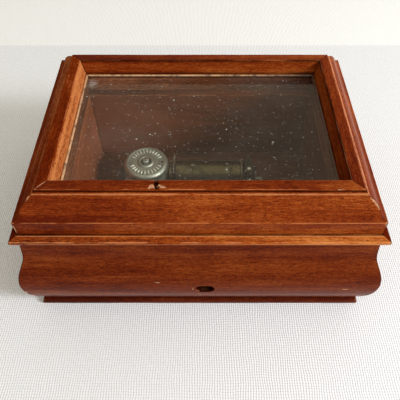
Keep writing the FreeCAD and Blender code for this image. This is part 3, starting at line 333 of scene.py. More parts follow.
@dataclass(frozen=True)
class StainedWood(Finish):
    """Close-grained reddish hardwood under stain and varnish: figure, ribbon stripe, fibre and pores."""

    grain: Grain = Grain.X
    dark: Colour = (0.100, 0.0100, 0.0018)
    mid: Colour = (0.225, 0.034, 0.0040)
    pale: Colour = (0.42, 0.110, 0.020)
    # The colour of arrises where the varnish wears thin, and of painted highlights along them.
    wear_and_glint: Colour = (0.68, 0.26, 0.095)
    bare: Colour = (0.62, 0.36, 0.20)
    inside: Colour = (0.42, 0.115, 0.048)
    # A change of tone along the grain: painted light, paler towards the lamp's side and darker where the light is cut
    # off.
    fade: float = 0.0
    varnish: float = 0.60
    varnish_roughness: float = 0.14
    gloss: float = 0.03
    roughness: float = 0.42
    seed: float = 0.0
    stops: Triple = (0.46, 0.575, 0.71)
    blotch_share: float = 0.12
    pore_strength: float = 0.80
    wear_and_glint_strength: float = 0.55
    grime_strength: float = 0.85
    grain_depth: float = 0.035
    ripple_depth: float = 0.06

    def paint(self, shader: Shader) -> None:
        """Mixes stain by figure and by painted light and shade, darkens pores, paints shade into crevices, and pales
        the arrises where the varnish wears thin, with painted highlights on some.

        Args:
            shader: The emptied node tree.
        """
        shift = (self.seed * 13.7, self.seed * 7.3, self.seed * 3.1)

        def pattern(streak: Streak) -> Signal:
            """A streak's noise on this board."""
            where = shader.place(self.grain.stretch(streak.along, streak.across), shift)
            return shader.noise(where, streak.detail, 0.55, streak.distortion)

        def clouds(scale: float, detail: float, roughness: float = 0.5) -> Signal:
            """Even noise on this board."""
            return shader.noise(shader.place(scale, shift), detail, roughness)

        def darker(colour: Colour, share: float) -> Colour:
            """A share of a colour."""
            return tuple(c * share for c in colour)

        figure, ribbon, fibre, grit = (pattern(streak) for streak in (FIGURE, RIBBON, FIBRE, GRIT))
        tone = figure * FIGURE.share + ribbon * RIBBON.share + fibre * FIBRE.share + grit * GRIT.share
        tone = tone + clouds(0.05, 2.0) * self.blotch_share + shader.along(self.grain.name) * self.fade
        # The shade mark is painted light and shade: paler on faces that take the light, darker on faces turned from it.
        tone = tone + shader.mark("shade")
        stain = shader.ramp(tone, list(zip(self.stops, (self.dark, self.mid, self.pale))))
        pores = pattern(PORES).within(0.39, 0.30)
        stain = shader.mix(pores * self.pore_strength, stain, darker(self.dark, 0.25))

        raw = shader.mix(tone.within(0.50, 0.66), darker(self.inside, 0.55), self.inside)
        inner = shader.mark("inner")
        stain = shader.mix(inner, stain, raw)

        # Arrises pale with wear, and painted highlights at the glint places.
        worn = (shader.mark("worn") * (clouds(0.35, 4.0, 0.7) + 0.25)).within(0.32, 0.72)
        stain = shader.mix(worn * self.wear_and_glint_strength, stain, self.wear_and_glint)
        torn = shader.mark("bare")
        splinters = pattern(SPLINTERS)
        bare = shader.mix(splinters.within(0.62, 0.38) * 0.55, self.bare, self.mid)
        stain = shader.mix((torn * (splinters * 0.6 + 0.70)).within(0.42, 0.60), stain, bare)
        # Darkest where soiling lies and where shade is painted: in hollows, gaps, quirks and the slot.
        grime = shader.mark("grime").most(0.0)
        stain = shader.mix((grime * self.grime_strength).least(0.96), stain, darker(self.dark, 0.12))

        smears = clouds(0.045, 3.0, 0.6)
        roughness = (smears - 0.5) * 0.22 + fibre * 0.10 + (self.roughness - 0.05) + torn * 0.35 + grime * 0.25
        open_grain = shader.bump(pores * -1.0 + fibre * 0.35 + torn * splinters * 4.0, self.grain_depth)
        ripple = shader.bump(clouds(0.11, 2.0), self.ripple_depth, open_grain)
        shader.surface({
            "Base Color": stain,
            "Roughness": roughness.least(1.0),
            "Normal": ripple,
            "Coat Weight": (1.0 - torn.least(1.0)) * (1.0 - grime.least(1.0) * 0.7) * (1.0 - inner) * self.varnish,
            "Coat Roughness": self.varnish_roughness,
            "Coat IOR": 1.12,
            "IOR": 1.3,
            "Specular IOR Level": self.gloss,
        })


@dataclass(frozen=True)
class PlainMetal(Finish):
    """Bare or plated metal with a brushed or turned surface, dull patches and fine scratches."""

    bright: Colour = (0.62, 0.60, 0.56)
    dull: Colour = (0.34, 0.32, 0.28)
    grain: Grain = Grain.X
    roughness: float = 0.28
    brushing: float = 0.5
    tarnish: float = 0.4
    speckle: float = 0.2
    metal: float = 1.0
    scratch_depth: float = 0.006

    def paint(self, shader: Shader) -> None:
        """Varies colour by tarnish, and roughness and height by brushing and scratches.

        Args:
            shader: The emptied node tree.
        """
        brushed = shader.noise(shader.place(self.grain.stretch(0.25, 9.0)), 2.0)
        cloud = shader.noise(shader.place(0.16), 5.0, 0.62)
        specks = shader.cells(shader.place(1.4)).within(0.16, 0.05)
        scratch = shader.noise(shader.place(self.grain.stretch(3.2, 0.22), (5.0, 2.0, 9.0)), 1.0).within(0.70, 0.74)
        patches = cloud.within(0.46, 0.72) * self.tarnish
        spots = specks * cloud.within(0.35, 0.7) * self.speckle
        colour = shader.mix((patches + spots).least(1.0), self.bright, self.dull)
        # Painted shade, with some soiling: darker and less metallic in hollows and recesses.
        crevice_shade = shader.mark("grime").least(1.0)
        colour = shader.mix(crevice_shade * 0.8, colour, tuple(c * 0.18 for c in self.dull))
        roughness = (brushed - 0.5) * (0.30 * self.brushing) + patches * 0.30 + self.roughness + spots * 0.3
        height = brushed * self.brushing + scratch * -0.8 + spots * -0.6
        shader.surface({
            "Base Color": colour,
            "Metallic": (1.0 - spots.least(1.0) * 0.5 - crevice_shade * 0.3) * self.metal,
            "Roughness": (roughness + crevice_shade * 0.3).least(1.0),
            "Normal": shader.bump(height, self.scratch_depth),
        })


@dataclass(frozen=True)
class Lacquer(Finish):
    """A casting or pressing under dull gold-bronze lacquer, slightly pitted."""

    # Darker than the lacquer itself: painted shade on the movement under the lid.
    colour: Colour = (0.15, 0.118, 0.074)
    shade: Colour = (0.06, 0.047, 0.031)
    roughness: float = 0.45
    peel_depth: float = 0.015

    def paint(self, shader: Shader) -> None:
        """Mottles the lacquer and gives it an orange-peel surface.

        Args:
            shader: The emptied node tree.
        """
        cloud = shader.noise(shader.place(0.12), 4.0, 0.6)
        peel = shader.noise(shader.place(1.6), 3.0)
        pits = shader.cells(shader.place(0.9)).within(0.13, 0.04) * cloud.within(0.4, 0.6)
        colour = shader.mix((cloud.within(0.35, 0.75) * 0.7 + pits * 0.4).least(1.0), self.colour, self.shade)
        shader.surface({
            "Base Color": colour,
            "Metallic": 0.75 - pits * 0.3,
            "Roughness": (cloud - 0.5) * 0.25 + pits * 0.25 + self.roughness,
            "Normal": shader.bump(peel * 0.6 - pits, self.peel_depth),
        })


@dataclass(frozen=True)
class PaneGlass(Finish):
    """Clear glass that mirrors by its angle and carries dust, smears and a few larger specks."""

    tint: Colour = (0.93, 0.95, 0.92)
    dust: Colour = (0.62, 0.60, 0.56)
    mirrored: Colour = (0.88, 0.78, 0.64)
    haze: float = 0.025
    fine_share: float = 0.34
    small_share: float = 0.38
    coarse_share: float = 0.62
    lint_share: float = 0.2
    smudge: Triple = (-64.4, 37.3, 78.0)
    smudge_reach: float = 5.0
    smudge_share: float = 0.42

    def paint(self, shader: Shader) -> None:
        """Mixes a mirror into a clear sheet by angle, then dust over both.

        Args:
            shader: The emptied node tree.
        """
        clear = shader.node("ShaderNodeBsdfTransparent", {}, {"Color": self.tint})
        mirror = shader.node("ShaderNodeBsdfGlossy", {}, {"Color": self.mirrored, "Roughness": 0.04})
        inside = shader.node("ShaderNodeNewGeometry", output="Backfacing")
        angle = shader.node("ShaderNodeFresnel", {}, {"IOR": 1.5}) * (1.0 - inside)
        glass = shader.node("ShaderNodeMixShader", {}, {0: angle, 1: clear, 2: mirror})
        film = shader.noise(shader.place((0.02, 0.03, 0.02)), 4.0, 0.6).within(0.35, 0.75)
        wiped = shader.noise(shader.place((0.05, 0.9, 0.3)), 3.0, 0.6).within(0.45, 0.8)
        fine = shader.cells(shader.place(0.42)).within(0.14, 0.07)
        small = shader.cells(shader.place(0.19, (7.1, 2.9, 4.0))).within(0.085, 0.050)
        coarse = shader.cells(shader.place(0.11, (3.3, 1.7, 0.4))).within(0.062, 0.036)
        lint = shader.noise(shader.place((0.5, 2.5, 1.0), (2.0, 5.0, 1.0)), 1.0).within(0.80, 0.83)
        share = film * self.haze + wiped * (self.haze * 0.5) + fine * self.fine_share
        share = share + small * self.small_share + coarse * self.coarse_share + lint * self.lint_share
        away = shader.node("ShaderNodeVectorMath", {"operation": "DISTANCE"}, {0: shader.place(), 1: self.smudge},
                           "Value")
        rag = shader.noise(shader.place((0.35, 0.9, 0.3)), 3.0, 0.7)
        share = share + away.within(self.smudge_reach, 0.5) * rag.within(0.35, 0.65) * self.smudge_share
        grains = shader.node("ShaderNodeBsdfDiffuse", {}, {"Color": self.dust})
        shader.show(shader.node("ShaderNodeMixShader", {}, {0: share.least(0.9), 1: glass, 2: grains}))


@dataclass(frozen=True)
class Sealant(Finish):
    """Clear-drying glazing sealant: a pale, slightly glossy bead with soiling on it, and painted shade past a place
    along X.
    """

    colour: Colour = (0.58, 0.33, 0.165)
    dirt_and_shade_colour: Colour = (0.13, 0.065, 0.032)
    painted_shade_from: Pair = (200.0, 300.0)

    def paint(self, shader: Shader) -> None:
        """Mottles the bead with soiling, and darkens it past a place along X: painted shade.

        Args:
            shader: The emptied node tree.
        """
        patches = shader.noise(shader.place(0.30), 4.0, 0.7).within(0.40, 0.66)
        # Soiling in patches, and painted shade past a place along X.
        dirt_and_shade = patches * 0.85 + shader.along("X").within(*self.painted_shade_from)
        colour = shader.mix(dirt_and_shade.least(1.0), self.colour, self.dirt_and_shade_colour)
        shader.surface({
            "Base Color": colour,
            "Roughness": patches * 0.3 + 0.25,
            "Normal": shader.bump(shader.noise(shader.place(1.1), 2.0), 0.05),
        })


@dataclass(frozen=True)
class Canvas(Finish):
    """The pale woven cloth that the box stands on, with a plain wall's tone beyond it."""

    cloth: Colour = (0.97, 0.98, 0.99)
    gaps: Colour = (0.66, 0.67, 0.68)
    wall: Colour = (0.97, 0.98, 0.97)
    edge_mm: float = 196.0
    pitch: Pair = (1.32, 1.38)
    crook: float = 3.0
    fade_mm: float = 2.0
    thread_depth: float = 0.22

    def paint(self, shader: Shader) -> None:
        """A plain weave of slightly crooked round threads, that turns to a flat tone past the cloth's far edge.

        Args:
            shader: The emptied node tree.
        """

        def threads(axis: str, pitch: float, seed: float) -> Signal:
            """Threads side by side along an axis: the size of a sine, 1 on a thread and 0 in a gap."""
            crook = shader.noise(shader.place(0.05, (seed, seed, 0.0)), 3.0, 0.6) * self.crook
            return ((shader.along(axis) + crook) * (np.pi / pitch)).math("SINE").math("ABSOLUTE")

        warp, weft = threads("X", self.pitch[0], 3.0), threads("Y", self.pitch[1], 11.0)
        fuzz = shader.noise(shader.place((0.6, 0.6, 1.0)), 2.0)
        gap = (1.0 - warp) * 0.62 + (1.0 - weft) * 0.34
        cloth = shader.mix((gap * (fuzz * 1.3 + 0.35)).least(1.0), self.cloth, self.gaps)
        beyond = shader.along("Y").within(self.edge_mm - self.fade_mm, self.edge_mm + self.fade_mm)
        shader.surface({
            "Base Color": shader.mix(beyond, cloth, self.wall),
            "Roughness": 0.85,
            "Specular IOR Level": 0.15,
            "Normal": shader.bump(gap * -1.0 + fuzz * 0.3, self.thread_depth),
        })


# ---- Surfaces ----


def ripples(points: Array, wave: float, seed: int) -> Array:
    """Smooth noise at points: the scaled sum of sine waves of seeded directions, lengths and phases.

    Args:
        points: An (..., d) array in millimetres.
        wave: The shortest wave, in millimetres; the others are up to three times as long.
        seed: Which noise.

    Returns:
        Values of about -1 to 1 at each point.
    """
    rng = np.random.default_rng(seed)
    ways = rng.normal(size=(WAVES, points.shape[-1]))
    ways *= (2 * np.pi / (wave * rng.uniform(1, 3, WAVES)) / np.linalg.norm(ways, axis=1))[:, None]
    return np.sin(points @ ways.T + rng.uniform(0, 2 * np.pi, WAVES)).sum(-1) * np.sqrt(2 / WAVES) / 1.6


def smooth(low: float, high: float, value: Array) -> Array:
    """0 below low, 1 above high, with a smooth step between."""
    share = np.clip((value - low) / (high - low), 0, 1)
    return share * share * (3 - 2 * share)


def near(line: Array, at: Sequence[float], width: float, power: int = 2) -> Array:
    """How near points of a profile are to a place: e to the power -(distance / width)^power."""
    return np.exp(-((np.hypot(line[:, 0] - at[0], line[:, 1] - at[1]) / width) ** power))


@dataclass
class Shell:
    """One or more closed surfaces: points in millimetres, blocks of equal-sided faces, values at points."""

    points: Array
    faces: list[Array]
    marks: dict[str, Array] = field(default_factory=dict)

    @classmethod
    def grid(cls, points: Array, closed_rows: bool = False, marks: dict[str, Array] | None = None) -> "Shell":
        """A tube over an (m, n, 3) grid: the n points of a row always close into a loop.

        Args:
            points: The grid.
            closed_rows: Whether the last row joins the first; otherwise each end gets a flat face.
            marks: (m, n) arrays of values at the points.

        Returns:
            The shell, facing outwards.
        """
        rows, columns = points.shape[:2]
        index = np.arange(rows * columns).reshape(rows, columns)
        after = np.roll(index, -1, axis=0) if closed_rows else index[1:]
        here = index if closed_rows else index[:-1]
        quads = np.stack([here, np.roll(here, -1, axis=1), np.roll(after, -1, axis=1), after], -1).reshape(-1, 4)
        faces = [quads]
        if not closed_rows:
            faces += [index[:1, ::-1], index[-1:]]
        flat = {name: values.reshape(-1) for name, values in (marks or {}).items()}
        return cls(points.reshape(-1, 3), faces, flat).outward()

    def volume(self) -> float:
        """The volume, less than 0 where the faces point inwards.

        Returns:
            A sixth of the sum over the faces of their fans' triple products.
        """
        total = 0.0
        for block in self.faces:
            first = self.points[block[:, 0]][:, None]
            second, third = self.points[block[:, 1:-1]], self.points[block[:, 2:]]
            total += float((first * np.cross(second, third)).sum()) / 6
        return total

    def outward(self) -> "Shell":
        """The same surface with its faces pointing outwards."""
        if self.volume() < 0:
            self.faces = [block[:, ::-1] for block in self.faces]
        return self

    def moved(self, shift: Sequence[float]) -> "Shell":
        """A copy, shifted."""
        return Shell(self.points + np.array(shift, float), self.faces, self.marks)

    def piece(self, name: str, finish: Finish, body: str, slot: str, replaces: Sequence[str] = (),
              crease: float = CREASE) -> bpy.types.Object:
        """Makes the Blender object.

        Args:
            name: The piece's name.
            finish: What it is finished with.
            body: The CAD body that it moves with.
            slot: The record's material slot; not used.
            replaces: The CAD nodes that it stands for.
            crease: Edges that turn by more than this many degrees are shaded sharp.

        Returns:
            The object.
        """
        mesh = self.mesh(name)
        for key, values in self.marks.items():
            mesh.attributes.new(key, "FLOAT", "POINT").data.foreach_set("value", values.astype(np.float32))
        mesh.validate()
        return dress(bpy.data.objects.new(name, mesh), finish, body, replaces, crease)

    def mesh(self, name: str) -> bpy.types.Mesh:
        """Makes a mesh of the points and faces.

        Args:
            name: Its name.

        Returns:
            The mesh.
        """
        mesh = bpy.data.meshes.new(name)
        mesh.from_pydata((self.points * MM).tolist(), [], [row for block in self.faces for row in block.tolist()])
        return mesh


def link(thing: bpy.types.Object) -> None:
    """Puts an object into the scene."""
    bpy.context.scene.collection.objects.link(thing)


def dress(piece: bpy.types.Object, finish: Finish, body: str, replaces: Sequence[str] = (),
          crease: float = CREASE) -> bpy.types.Object:
    """Links a piece, finishes it and ties it to its CAD body and nodes.

    Args:
        piece: The object.
        finish: What it is finished with.
        body: The CAD body that it moves with.
        replaces: The CAD nodes that it stands for.
        crease: Edges that turn by more than this many degrees are shaded sharp.

    Returns:
        The object.
    """
    link(piece)
    piece.data.materials.clear()
    piece.data.materials.append(finish.material())
    piece.data.shade_smooth()
    piece.data.set_sharp_from_angle(angle=np.radians(crease))
    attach(piece, body)
    if replaces:
        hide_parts(*replaces)
    log.info("%s: %d faces on %s", piece.name, len(piece.data.polygons), body)
    return piece


def applied(piece: bpy.types.Object) -> None:
    """Works modifiers into a mesh.

    Args:
        piece: The object that has them.
    """
    bpy.context.view_layer.update()
    mesh = bpy.data.meshes.new_from_object(piece.evaluated_get(bpy.context.evaluated_depsgraph_get()))
    piece.modifiers.clear()
    piece.data = mesh


def arc_points(start: Array, stop: Array, bulge: float, step: float) -> Array:
    """Points from start up to stop, stop left out: a line, or an arc that rises bulge x half its chord.

    An arc's point at the angle a from its start lies 2 r sin(a / 2) away, in the chord's direction turned
    by half of what is left of the arc's angle.

    Args:
        start: The first point.
        stop: The last point.
        bulge: The arc's height over half its chord; 0 for a line.
        step: The length of a step, in millimetres.

    Returns:
        (n, 2) points.
    """
    chord = stop - start
    length = float(np.hypot(*chord))
    count = max(2, round(length / step))
    share = np.arange(count) / count
    if not bulge:
        return start + share[:, None] * chord
    whole = 4 * np.arctan(bulge)
    radius = length / (2 * np.sin(whole / 2))
    reach = 2 * radius * np.sin(share * whole / 2)
    lean = np.arctan2(chord[1], chord[0]) + (1 - share) * whole / 2
    return start + np.stack([reach * np.cos(lean), reach * np.sin(lean)], -1)


def corner_runs(corners: Sequence[tuple[float, ...]], step: float, closed: bool = True) -> list[Array]:
    """The lines and arcs between an outline's corners, each as points without its last.

    Args:
        corners: (x, y) corners, with a third number, the bulge, where an arc arrives.
        step: The length of a step, in millimetres.
        closed: Whether a run joins the last corner to the first.

    Returns:
        The points of each run.
    """
    ends = [np.array(corner[:2], float) for corner in corners]
    bulges = [corner[2] if len(corner) > 2 else 0.0 for corner in corners]
    return [arc_points(ends[i - 1], ends[i], bulges[i], step) for i in range(0 if closed else 1, len(ends))]


@dataclass(frozen=True)
class Moulding:
    """A wood profile. Each corner is (reach outside the ledge line, height), with a bulge where curved.

    Glint, dark-line and dense places are (reach, height, width). Glint places are painted highlights on
    arrises, and dark-line places are painted shade in gaps and quirks, with some soiling. A shade is (reach,
    height, width, change of tone, how far the change leans to the left): painted light and shade, paler on
    faces that take the light and darker on faces turned from it, with some plain change of tone.
    """

    corners: tuple[tuple[float, ...], ...]
    softness: float = 0.3
    count: int = 110
    wear_and_glint: tuple[Triple, ...] = ()
    dirt_and_shade: tuple[Triple, ...] = ()
    painted_light_and_tone: tuple[tuple[float, float, float, float, float], ...] = ()
    dense: tuple[Triple, ...] = ()
    fine: float = 0.05
    sharpest: float = 2.5
    straight: float = 0.25
    dense_gain: float = 1.6

    def outline(self) -> tuple[Array, Array, Array]:
        """The outline with softened arrises.

        The corners' lines and arcs are sampled finely, each coordinate is averaged round the loop with a
        bell curve, and the result is sampled again, closest where it turns most.

        Returns:
            (n, 2) points, (n, 2) outward normals and the turn per millimetre at each, positive where convex.
        """
        dense = np.concatenate(corner_runs(self.corners, self.fine))
        lengths = np.hypot(*(np.roll(dense, -1, 0) - dense).T)
        travel = np.concatenate([[0], np.cumsum(lengths)])
        count = int(travel[-1] / self.fine)
        even = np.linspace(0, travel[-1], count, endpoint=False)
        loop = np.concatenate([dense, dense[:1]])
        line = np.stack([np.interp(even, travel, loop[:, axis]) for axis in (0, 1)], -1)
        waves = np.fft.fftfreq(count, travel[-1] / count)
        bell = np.exp(-2 * (np.pi * self.softness * waves) ** 2)[:, None]
        line = np.fft.ifft(np.fft.fft(line, axis=0) * bell, axis=0).real
        rate = 2j * np.pi * waves[:, None]
        first = np.fft.ifft(np.fft.fft(line, axis=0) * rate, axis=0).real
        second = np.fft.ifft(np.fft.fft(line, axis=0) * rate**2, axis=0).real
        speed = np.maximum(np.hypot(*first.T), 1e-6)
        turn = (first[:, 0] * second[:, 1] - first[:, 1] * second[:, 0]) / speed**3
        after = np.roll(line, -1, 0)
        area = float((line[:, 0] * after[:, 1] - line[:, 1] * after[:, 0]).sum()) / 2
        side = np.sign(area)
        normal = np.stack([first[:, 1], -first[:, 0]], -1) / speed[:, None] * side
        bend = turn * side
        close = np.minimum(np.abs(bend), self.sharpest) + self.straight
        for *place, width in self.dense:
            close += self.dense_gain * near(line, place, width, 4)
        weight = np.cumsum(close)
        at = np.interp((np.arange(self.count) + 0.5) / self.count * weight[-1], weight, np.arange(count))
        pick = at.astype(int)
        return line[pick], normal[pick], bend[pick]


@dataclass(frozen=True)
class Dent:
    """Damage to a moulding: a spindle about a point inside which the surface is pushed in."""

    centre: Triple
    radii: Pair
    depth: float = 0.0
    bare: float = 0.0
    grime: float = 0.0
    way: Triple = (1.0, 0.0, 0.0)
    edge: float = 0.35
    ragged: float = 0.35
    seed: int = 1

    def share(self, points: Array) -> Array:
        """How much of the dent each point gets: 1 well inside the ragged spindle and 0 outside.

        The distance from the centre is split into its run along the spindle's way, over the long radius,
        and the rest, over the short radius; the two are added by squares and roughened with noise.

        Args:
            points: An (..., 3) array in millimetres.

        Returns:
            A share for each point.
        """
        way = np.array(self.way) / np.linalg.norm(self.way)
        away = points - np.array(self.centre)
        run = away @ way
        off = (away**2).sum(-1) - run**2
        away = np.sqrt((run / self.radii[0]) ** 2 + np.maximum(off, 0) / self.radii[1] ** 2)
        away *= 1 + self.ragged * np.clip(ripples(points, self.radii[1] * 0.8, self.seed), -1, 1)
        return smooth(1.0, 1.0 - self.edge, away)


class Side(Enum):
    """A side of the case and the quarter turns about Z that bring the back rail to it."""

    BACK = 0
    LEFT = 1
    FRONT = 2
    RIGHT = 3

    @property
    def grain(self) -> Grain:
        """The grain runs along the rail."""
        return Grain.X if self in (Side.BACK, Side.FRONT) else Grain.Y


@dataclass(frozen=True)
class Rail:
    """A length of moulding on one side of the case, mitred into its neighbours."""

    side: Side
    moulding: Moulding
    ledge: Pair
    dents: tuple[Dent, ...] = ()
    focus: tuple[Triple, ...] = ()
    seed: int = 0
    bend_zone: float = 32.0
    joint_groove: float = 0.10
    groove_width: float = 0.28
    seam_width: float = 0.22
    unevenness: float = 0.02
    arris_loss: float = 0.05
    inner_reach: Pair = (-17.6, -18.1)
    inner_top: float = 66.2
    step: float = 3.2
    mitre_steps: tuple[Pair, ...] = ((0.9, 0.16), (4.0, 1.2))

    def stations(self, length: float) -> Array:
        """Places along the ledge line, closest at the mitres and in each focus (middle, half width, step).

        A density, in stations per millimetre, is summed along the line, and the places where the sum passes
        even steps are taken. Each of the mitre's steps is (reach, step).

        Args:
            length: The ledge line's length.

        Returns:
            The places, from its middle.
        """
        fine = np.linspace(-length / 2, length / 2, 6001)
        inset = length / 2 - np.abs(fine)
        density = sum((np.exp(-((inset / reach) ** 2)) / step for reach, step in self.mitre_steps), 1 / self.step)
        sign = -1.0 if self.side in (Side.FRONT, Side.RIGHT) else 1.0
        for middle, half, step in self.focus:
            density += np.exp(-(((fine - sign * middle) / half) ** 4)) / step
        total = np.concatenate([[0], np.cumsum((density[1:] + density[:-1]) / 2 * np.diff(fine))])
        count = int(total[-1]) + 2
        return np.interp(np.linspace(0, total[-1], count), total, fine)

    def carried(self, outline: Array, normal: Array) -> tuple[Array, Array, Array]:
        """Carries the outline along the side.

        Up to bend_zone from its ends every outline point keeps the station's place. From there the place
        is stretched so that a point at the reach r ends on the mitre plane, half the length plus r out.

        Args:
            outline: The profile's (n, 2) points.
            normal: Their outward normals.

        Returns:
            (m, n, 3) points, their normals and their (m, n) distances from the mitre plane.
        """
        width, depth = self.ledge
        length, offset = (width, depth / 2) if self.side.grain is Grain.X else (depth, width / 2)
        along = self.stations(length)[:, None]
        reach, height = outline[:, 0][None], outline[:, 1][None]
        straight = length / 2 - self.bend_zone
        over = np.maximum(np.abs(along) - straight, 0) / self.bend_zone
        x = np.sign(along) * (np.minimum(np.abs(along), straight) + over * (self.bend_zone + reach))
        local = np.stack([x, offset + reach + 0 * x, height + 0 * x], -1)
        flat_normal = np.stack([0 * normal[:, 0], normal[:, 0], normal[:, 1]], -1)[None]
        turn = np.pi / 2 * self.side.value
        rotate = np.array([[np.cos(turn), -np.sin(turn), 0], [np.sin(turn), np.cos(turn), 0], [0, 0, 1]])
        mitre = (length / 2 + reach - np.abs(x)) / np.sqrt(2)
        return local @ rotate.T, flat_normal @ rotate.T, mitre

    def shell(self) -> Shell:
        """Carries the outline along the side, wears it and works out its marks.

        The surface is moved in along its normals by the mitre groove, a slight unevenness, the arrises'
        loss and the dents. The marks are each a sum of bells about places of the profile and the mitre,
        unevened with noise. Some of them are painted shade, painted light and painted highlights.

        Returns:
            The rail.
        """
        outline, normal, bend = self.moulding.outline()
        points, normals, mitre = self.carried(outline, normal)

        def noise(wave: float, number: int) -> Array:
            """This rail's own noise."""
            return ripples(points, wave, self.seed + number)

        rough = noise(2.2, 11)
        sink = self.joint_groove * (1 + 0.5 * rough) * np.exp(-((mitre / self.groove_width) ** 2))
        sink = sink + self.unevenness * np.maximum(1 + noise(24.0, 5), 0)
        arris = smooth(0.35, 1.3, bend)[None] * (0.75 + 0.45 * noise(9.0, 7))
        sink = sink + self.arris_loss * np.clip(arris, 0, 1)
        # Painted highlights at the glint places, added to the arrises' wear.
        for *place, width in self.moulding.wear_and_glint:
            arris = arris + near(outline, place, width)[None] * (1.05 + 0.25 * noise(14.0, 9))
        worn = np.clip(arris + 0.7 * smooth(1.4, 0.2, mitre) * smooth(0.0, 0.6, bend)[None], 0, 1)

        # Painted shade in concave hollows and, at the dark-line places, in gaps and quirks, with some soiling; the
        # mitre's seam is a dark joint.
        hollow_shade = smooth(-0.4, -1.6, bend)[None] * (0.75 + 0.3 * rough)
        seam = 0.75 * np.exp(-((mitre / self.seam_width) ** 2)) * (0.6 + 0.5 * rough)
        for *place, width in self.moulding.dirt_and_shade:
            hollow_shade = hollow_shade + near(outline, place, width)[None] * (0.95 + 0.3 * noise(11.0, 13))
        grime = np.clip(hollow_shade + seam, 0, 1)

        # Painted light and shade: tone paler or darker about places of the profile, more so towards the left where a
        # lean is given.
        shade = np.zeros_like(grime)
        for *place, width, change, lean in self.moulding.painted_light_and_tone:
            shade = shade + change * near(outline, place, width, 4)[None] * (1 - lean * points[..., 0] / 90)
        bare = np.zeros_like(grime)
        inner = smooth(*self.inner_reach, outline[:, 0]) * (outline[:, 1] < self.inner_top)
        for dent in self.dents:
            share = dent.share(points)
            sink = sink + dent.depth * share
            bare = np.maximum(bare, dent.bare * share)
            grime = np.maximum(grime * (1 - 0.8 * dent.bare * share), dent.grime * share)
        return Shell.grid(points - normals * sink[..., None], marks={
            "worn": worn, "grime": grime, "bare": bare, "inner": np.broadcast_to(inner, grime.shape), "shade": shade})


def turned(outline: Sequence[tuple[float, ...]], softness: float = 0.0, count: int = 0, sides: int = 96,
           closed: bool = True) -> Shell:
    """A turned shape about Z: each (radius, height) point of the outline goes round a full circle.

    Args:
        outline: The corners, with a bulge where an arc arrives, as in a moulding.
        softness: How far the arrises are softened, in millimetres.
        count: How many outline points are kept, when softened.
        sides: How many steps go round.
        closed: Whether the outline is a loop clear of the axis. Otherwise its two ends lie on the axis.

    Returns:
        The shell.
    """
    if closed and softness:
        line, _, bend = Moulding(tuple(outline), softness, count).outline()
    else:
        last = [] if closed else [np.array([outline[-1][:2]], float)]
        line = np.concatenate(corner_runs(outline, 0.3, closed) + last)
        bend = np.zeros(len(line))
    angle = np.linspace(0, 2 * np.pi, sides, endpoint=False)[None, :]
    radius, height = line[:, 0][:, None], line[:, 1][:, None]
    points = np.stack([radius * np.cos(angle), radius * np.sin(angle), height + 0 * angle], -1)
    # Painted shade in the outline's hollows.
    grime = smooth(-0.5, -2.0, bend)[:, None] + 0 * angle
    return Shell.grid(points, closed_rows=closed, marks={"grime": grime})


def on_axis(shell: Shell, grain: Grain, at: Sequence[float]) -> Shell:
    """Lays a shape's own Z axis along an axis of the frame and puts its origin at a point."""
    order = {Grain.X: [2, 0, 1], Grain.Y: [1, 2, 0], Grain.Z: [0, 1, 2]}[grain]
    return Shell(shell.points[:, order] + np.array(at, float), shell.faces, shell.marks)


@lru_cache(maxsize=None)
def block_faces() -> tuple[Array, Array]:
    """The four-sided and three-sided faces of one chamfered block, by the numbers of its 24 points.

    Each of the 26 ways that are not the middle has a face: 6 sides, 12 edge strips and 8 corners. It holds
    the points of the corners that lie that way whose own axis is one of the way's, and takes them
    anticlockwise about the way, by their angle in the face's plane.

    Returns:
        (18, 4) and (8, 3) numbers.
    """
    signs = np.array(list(product((-1, 1), repeat=3)))
    shape = (signs[:, None] * (1 - 0.3 * (1 - np.eye(3)))).reshape(-1, 3)
    faces = []
    for way in np.array(list(product((-1, 0, 1), repeat=3))):
        held = np.flatnonzero(((signs == way) | (way == 0)).all(1)[:, None] & (way != 0))
        if way.any():
            spoke = shape[held] - shape[held].mean(0)
            faces.append(held[np.argsort(np.arctan2(spoke @ np.cross(way, spoke[0]), spoke @ spoke[0]))])
    return tuple(np.array([face for face in faces if len(face) == sides]) for sides in (4, 3))


def blocks(low: Array, high: Array, chamfer: float) -> Shell:
    """Boxes with their edges and corners cut off, all at once.

    Each corner of a box becomes three points, one on each face that meets there, set in by the chamfer
    along the two other axes.

    Args:
        low: (n, 3) lowest corners.
        high: (n, 3) highest corners.
        chamfer: The width that is cut off.

    Returns:
        The shell of all the boxes.
    """
    low, high = np.atleast_2d(low).astype(float), np.atleast_2d(high).astype(float)
    signs = np.array(list(product((-1, 1), repeat=3)))[None, :, None]
    middle, half = ((low + high) / 2)[:, None, None], ((high - low) / 2)[:, None, None]
    points = middle + signs * half - signs * (1 - np.eye(3)) * chamfer
    starts = np.arange(len(low))[:, None, None] * 24
    faces = [(kind[None] + starts).reshape(-1, kind.shape[1]) for kind in block_faces()]
    return Shell(points.reshape(-1, 3), faces)


def merged(source: bpy.types.Mesh, name: str, gap: float, flat: float = 0.0) -> bpy.types.Mesh:
    """A copy of a mesh with its coincident points merged.

    Args:
        source: The mesh.
        name: The copy's name.
        gap: Points closer than this many millimetres are merged.
        flat: Faces that turn by less than this many degrees are joined; 0 joins none.

    Returns:
        The copy.
    """
    work = bmesh.new()
    work.from_mesh(source)
    bmesh.ops.remove_doubles(work, verts=work.verts, dist=gap * MM)
    if flat:
        bmesh.ops.dissolve_limit(work, angle_limit=np.radians(flat), verts=work.verts, edges=work.edges)
    mesh = bpy.data.meshes.new(name)
    work.to_mesh(mesh)
    work.free()
    return mesh


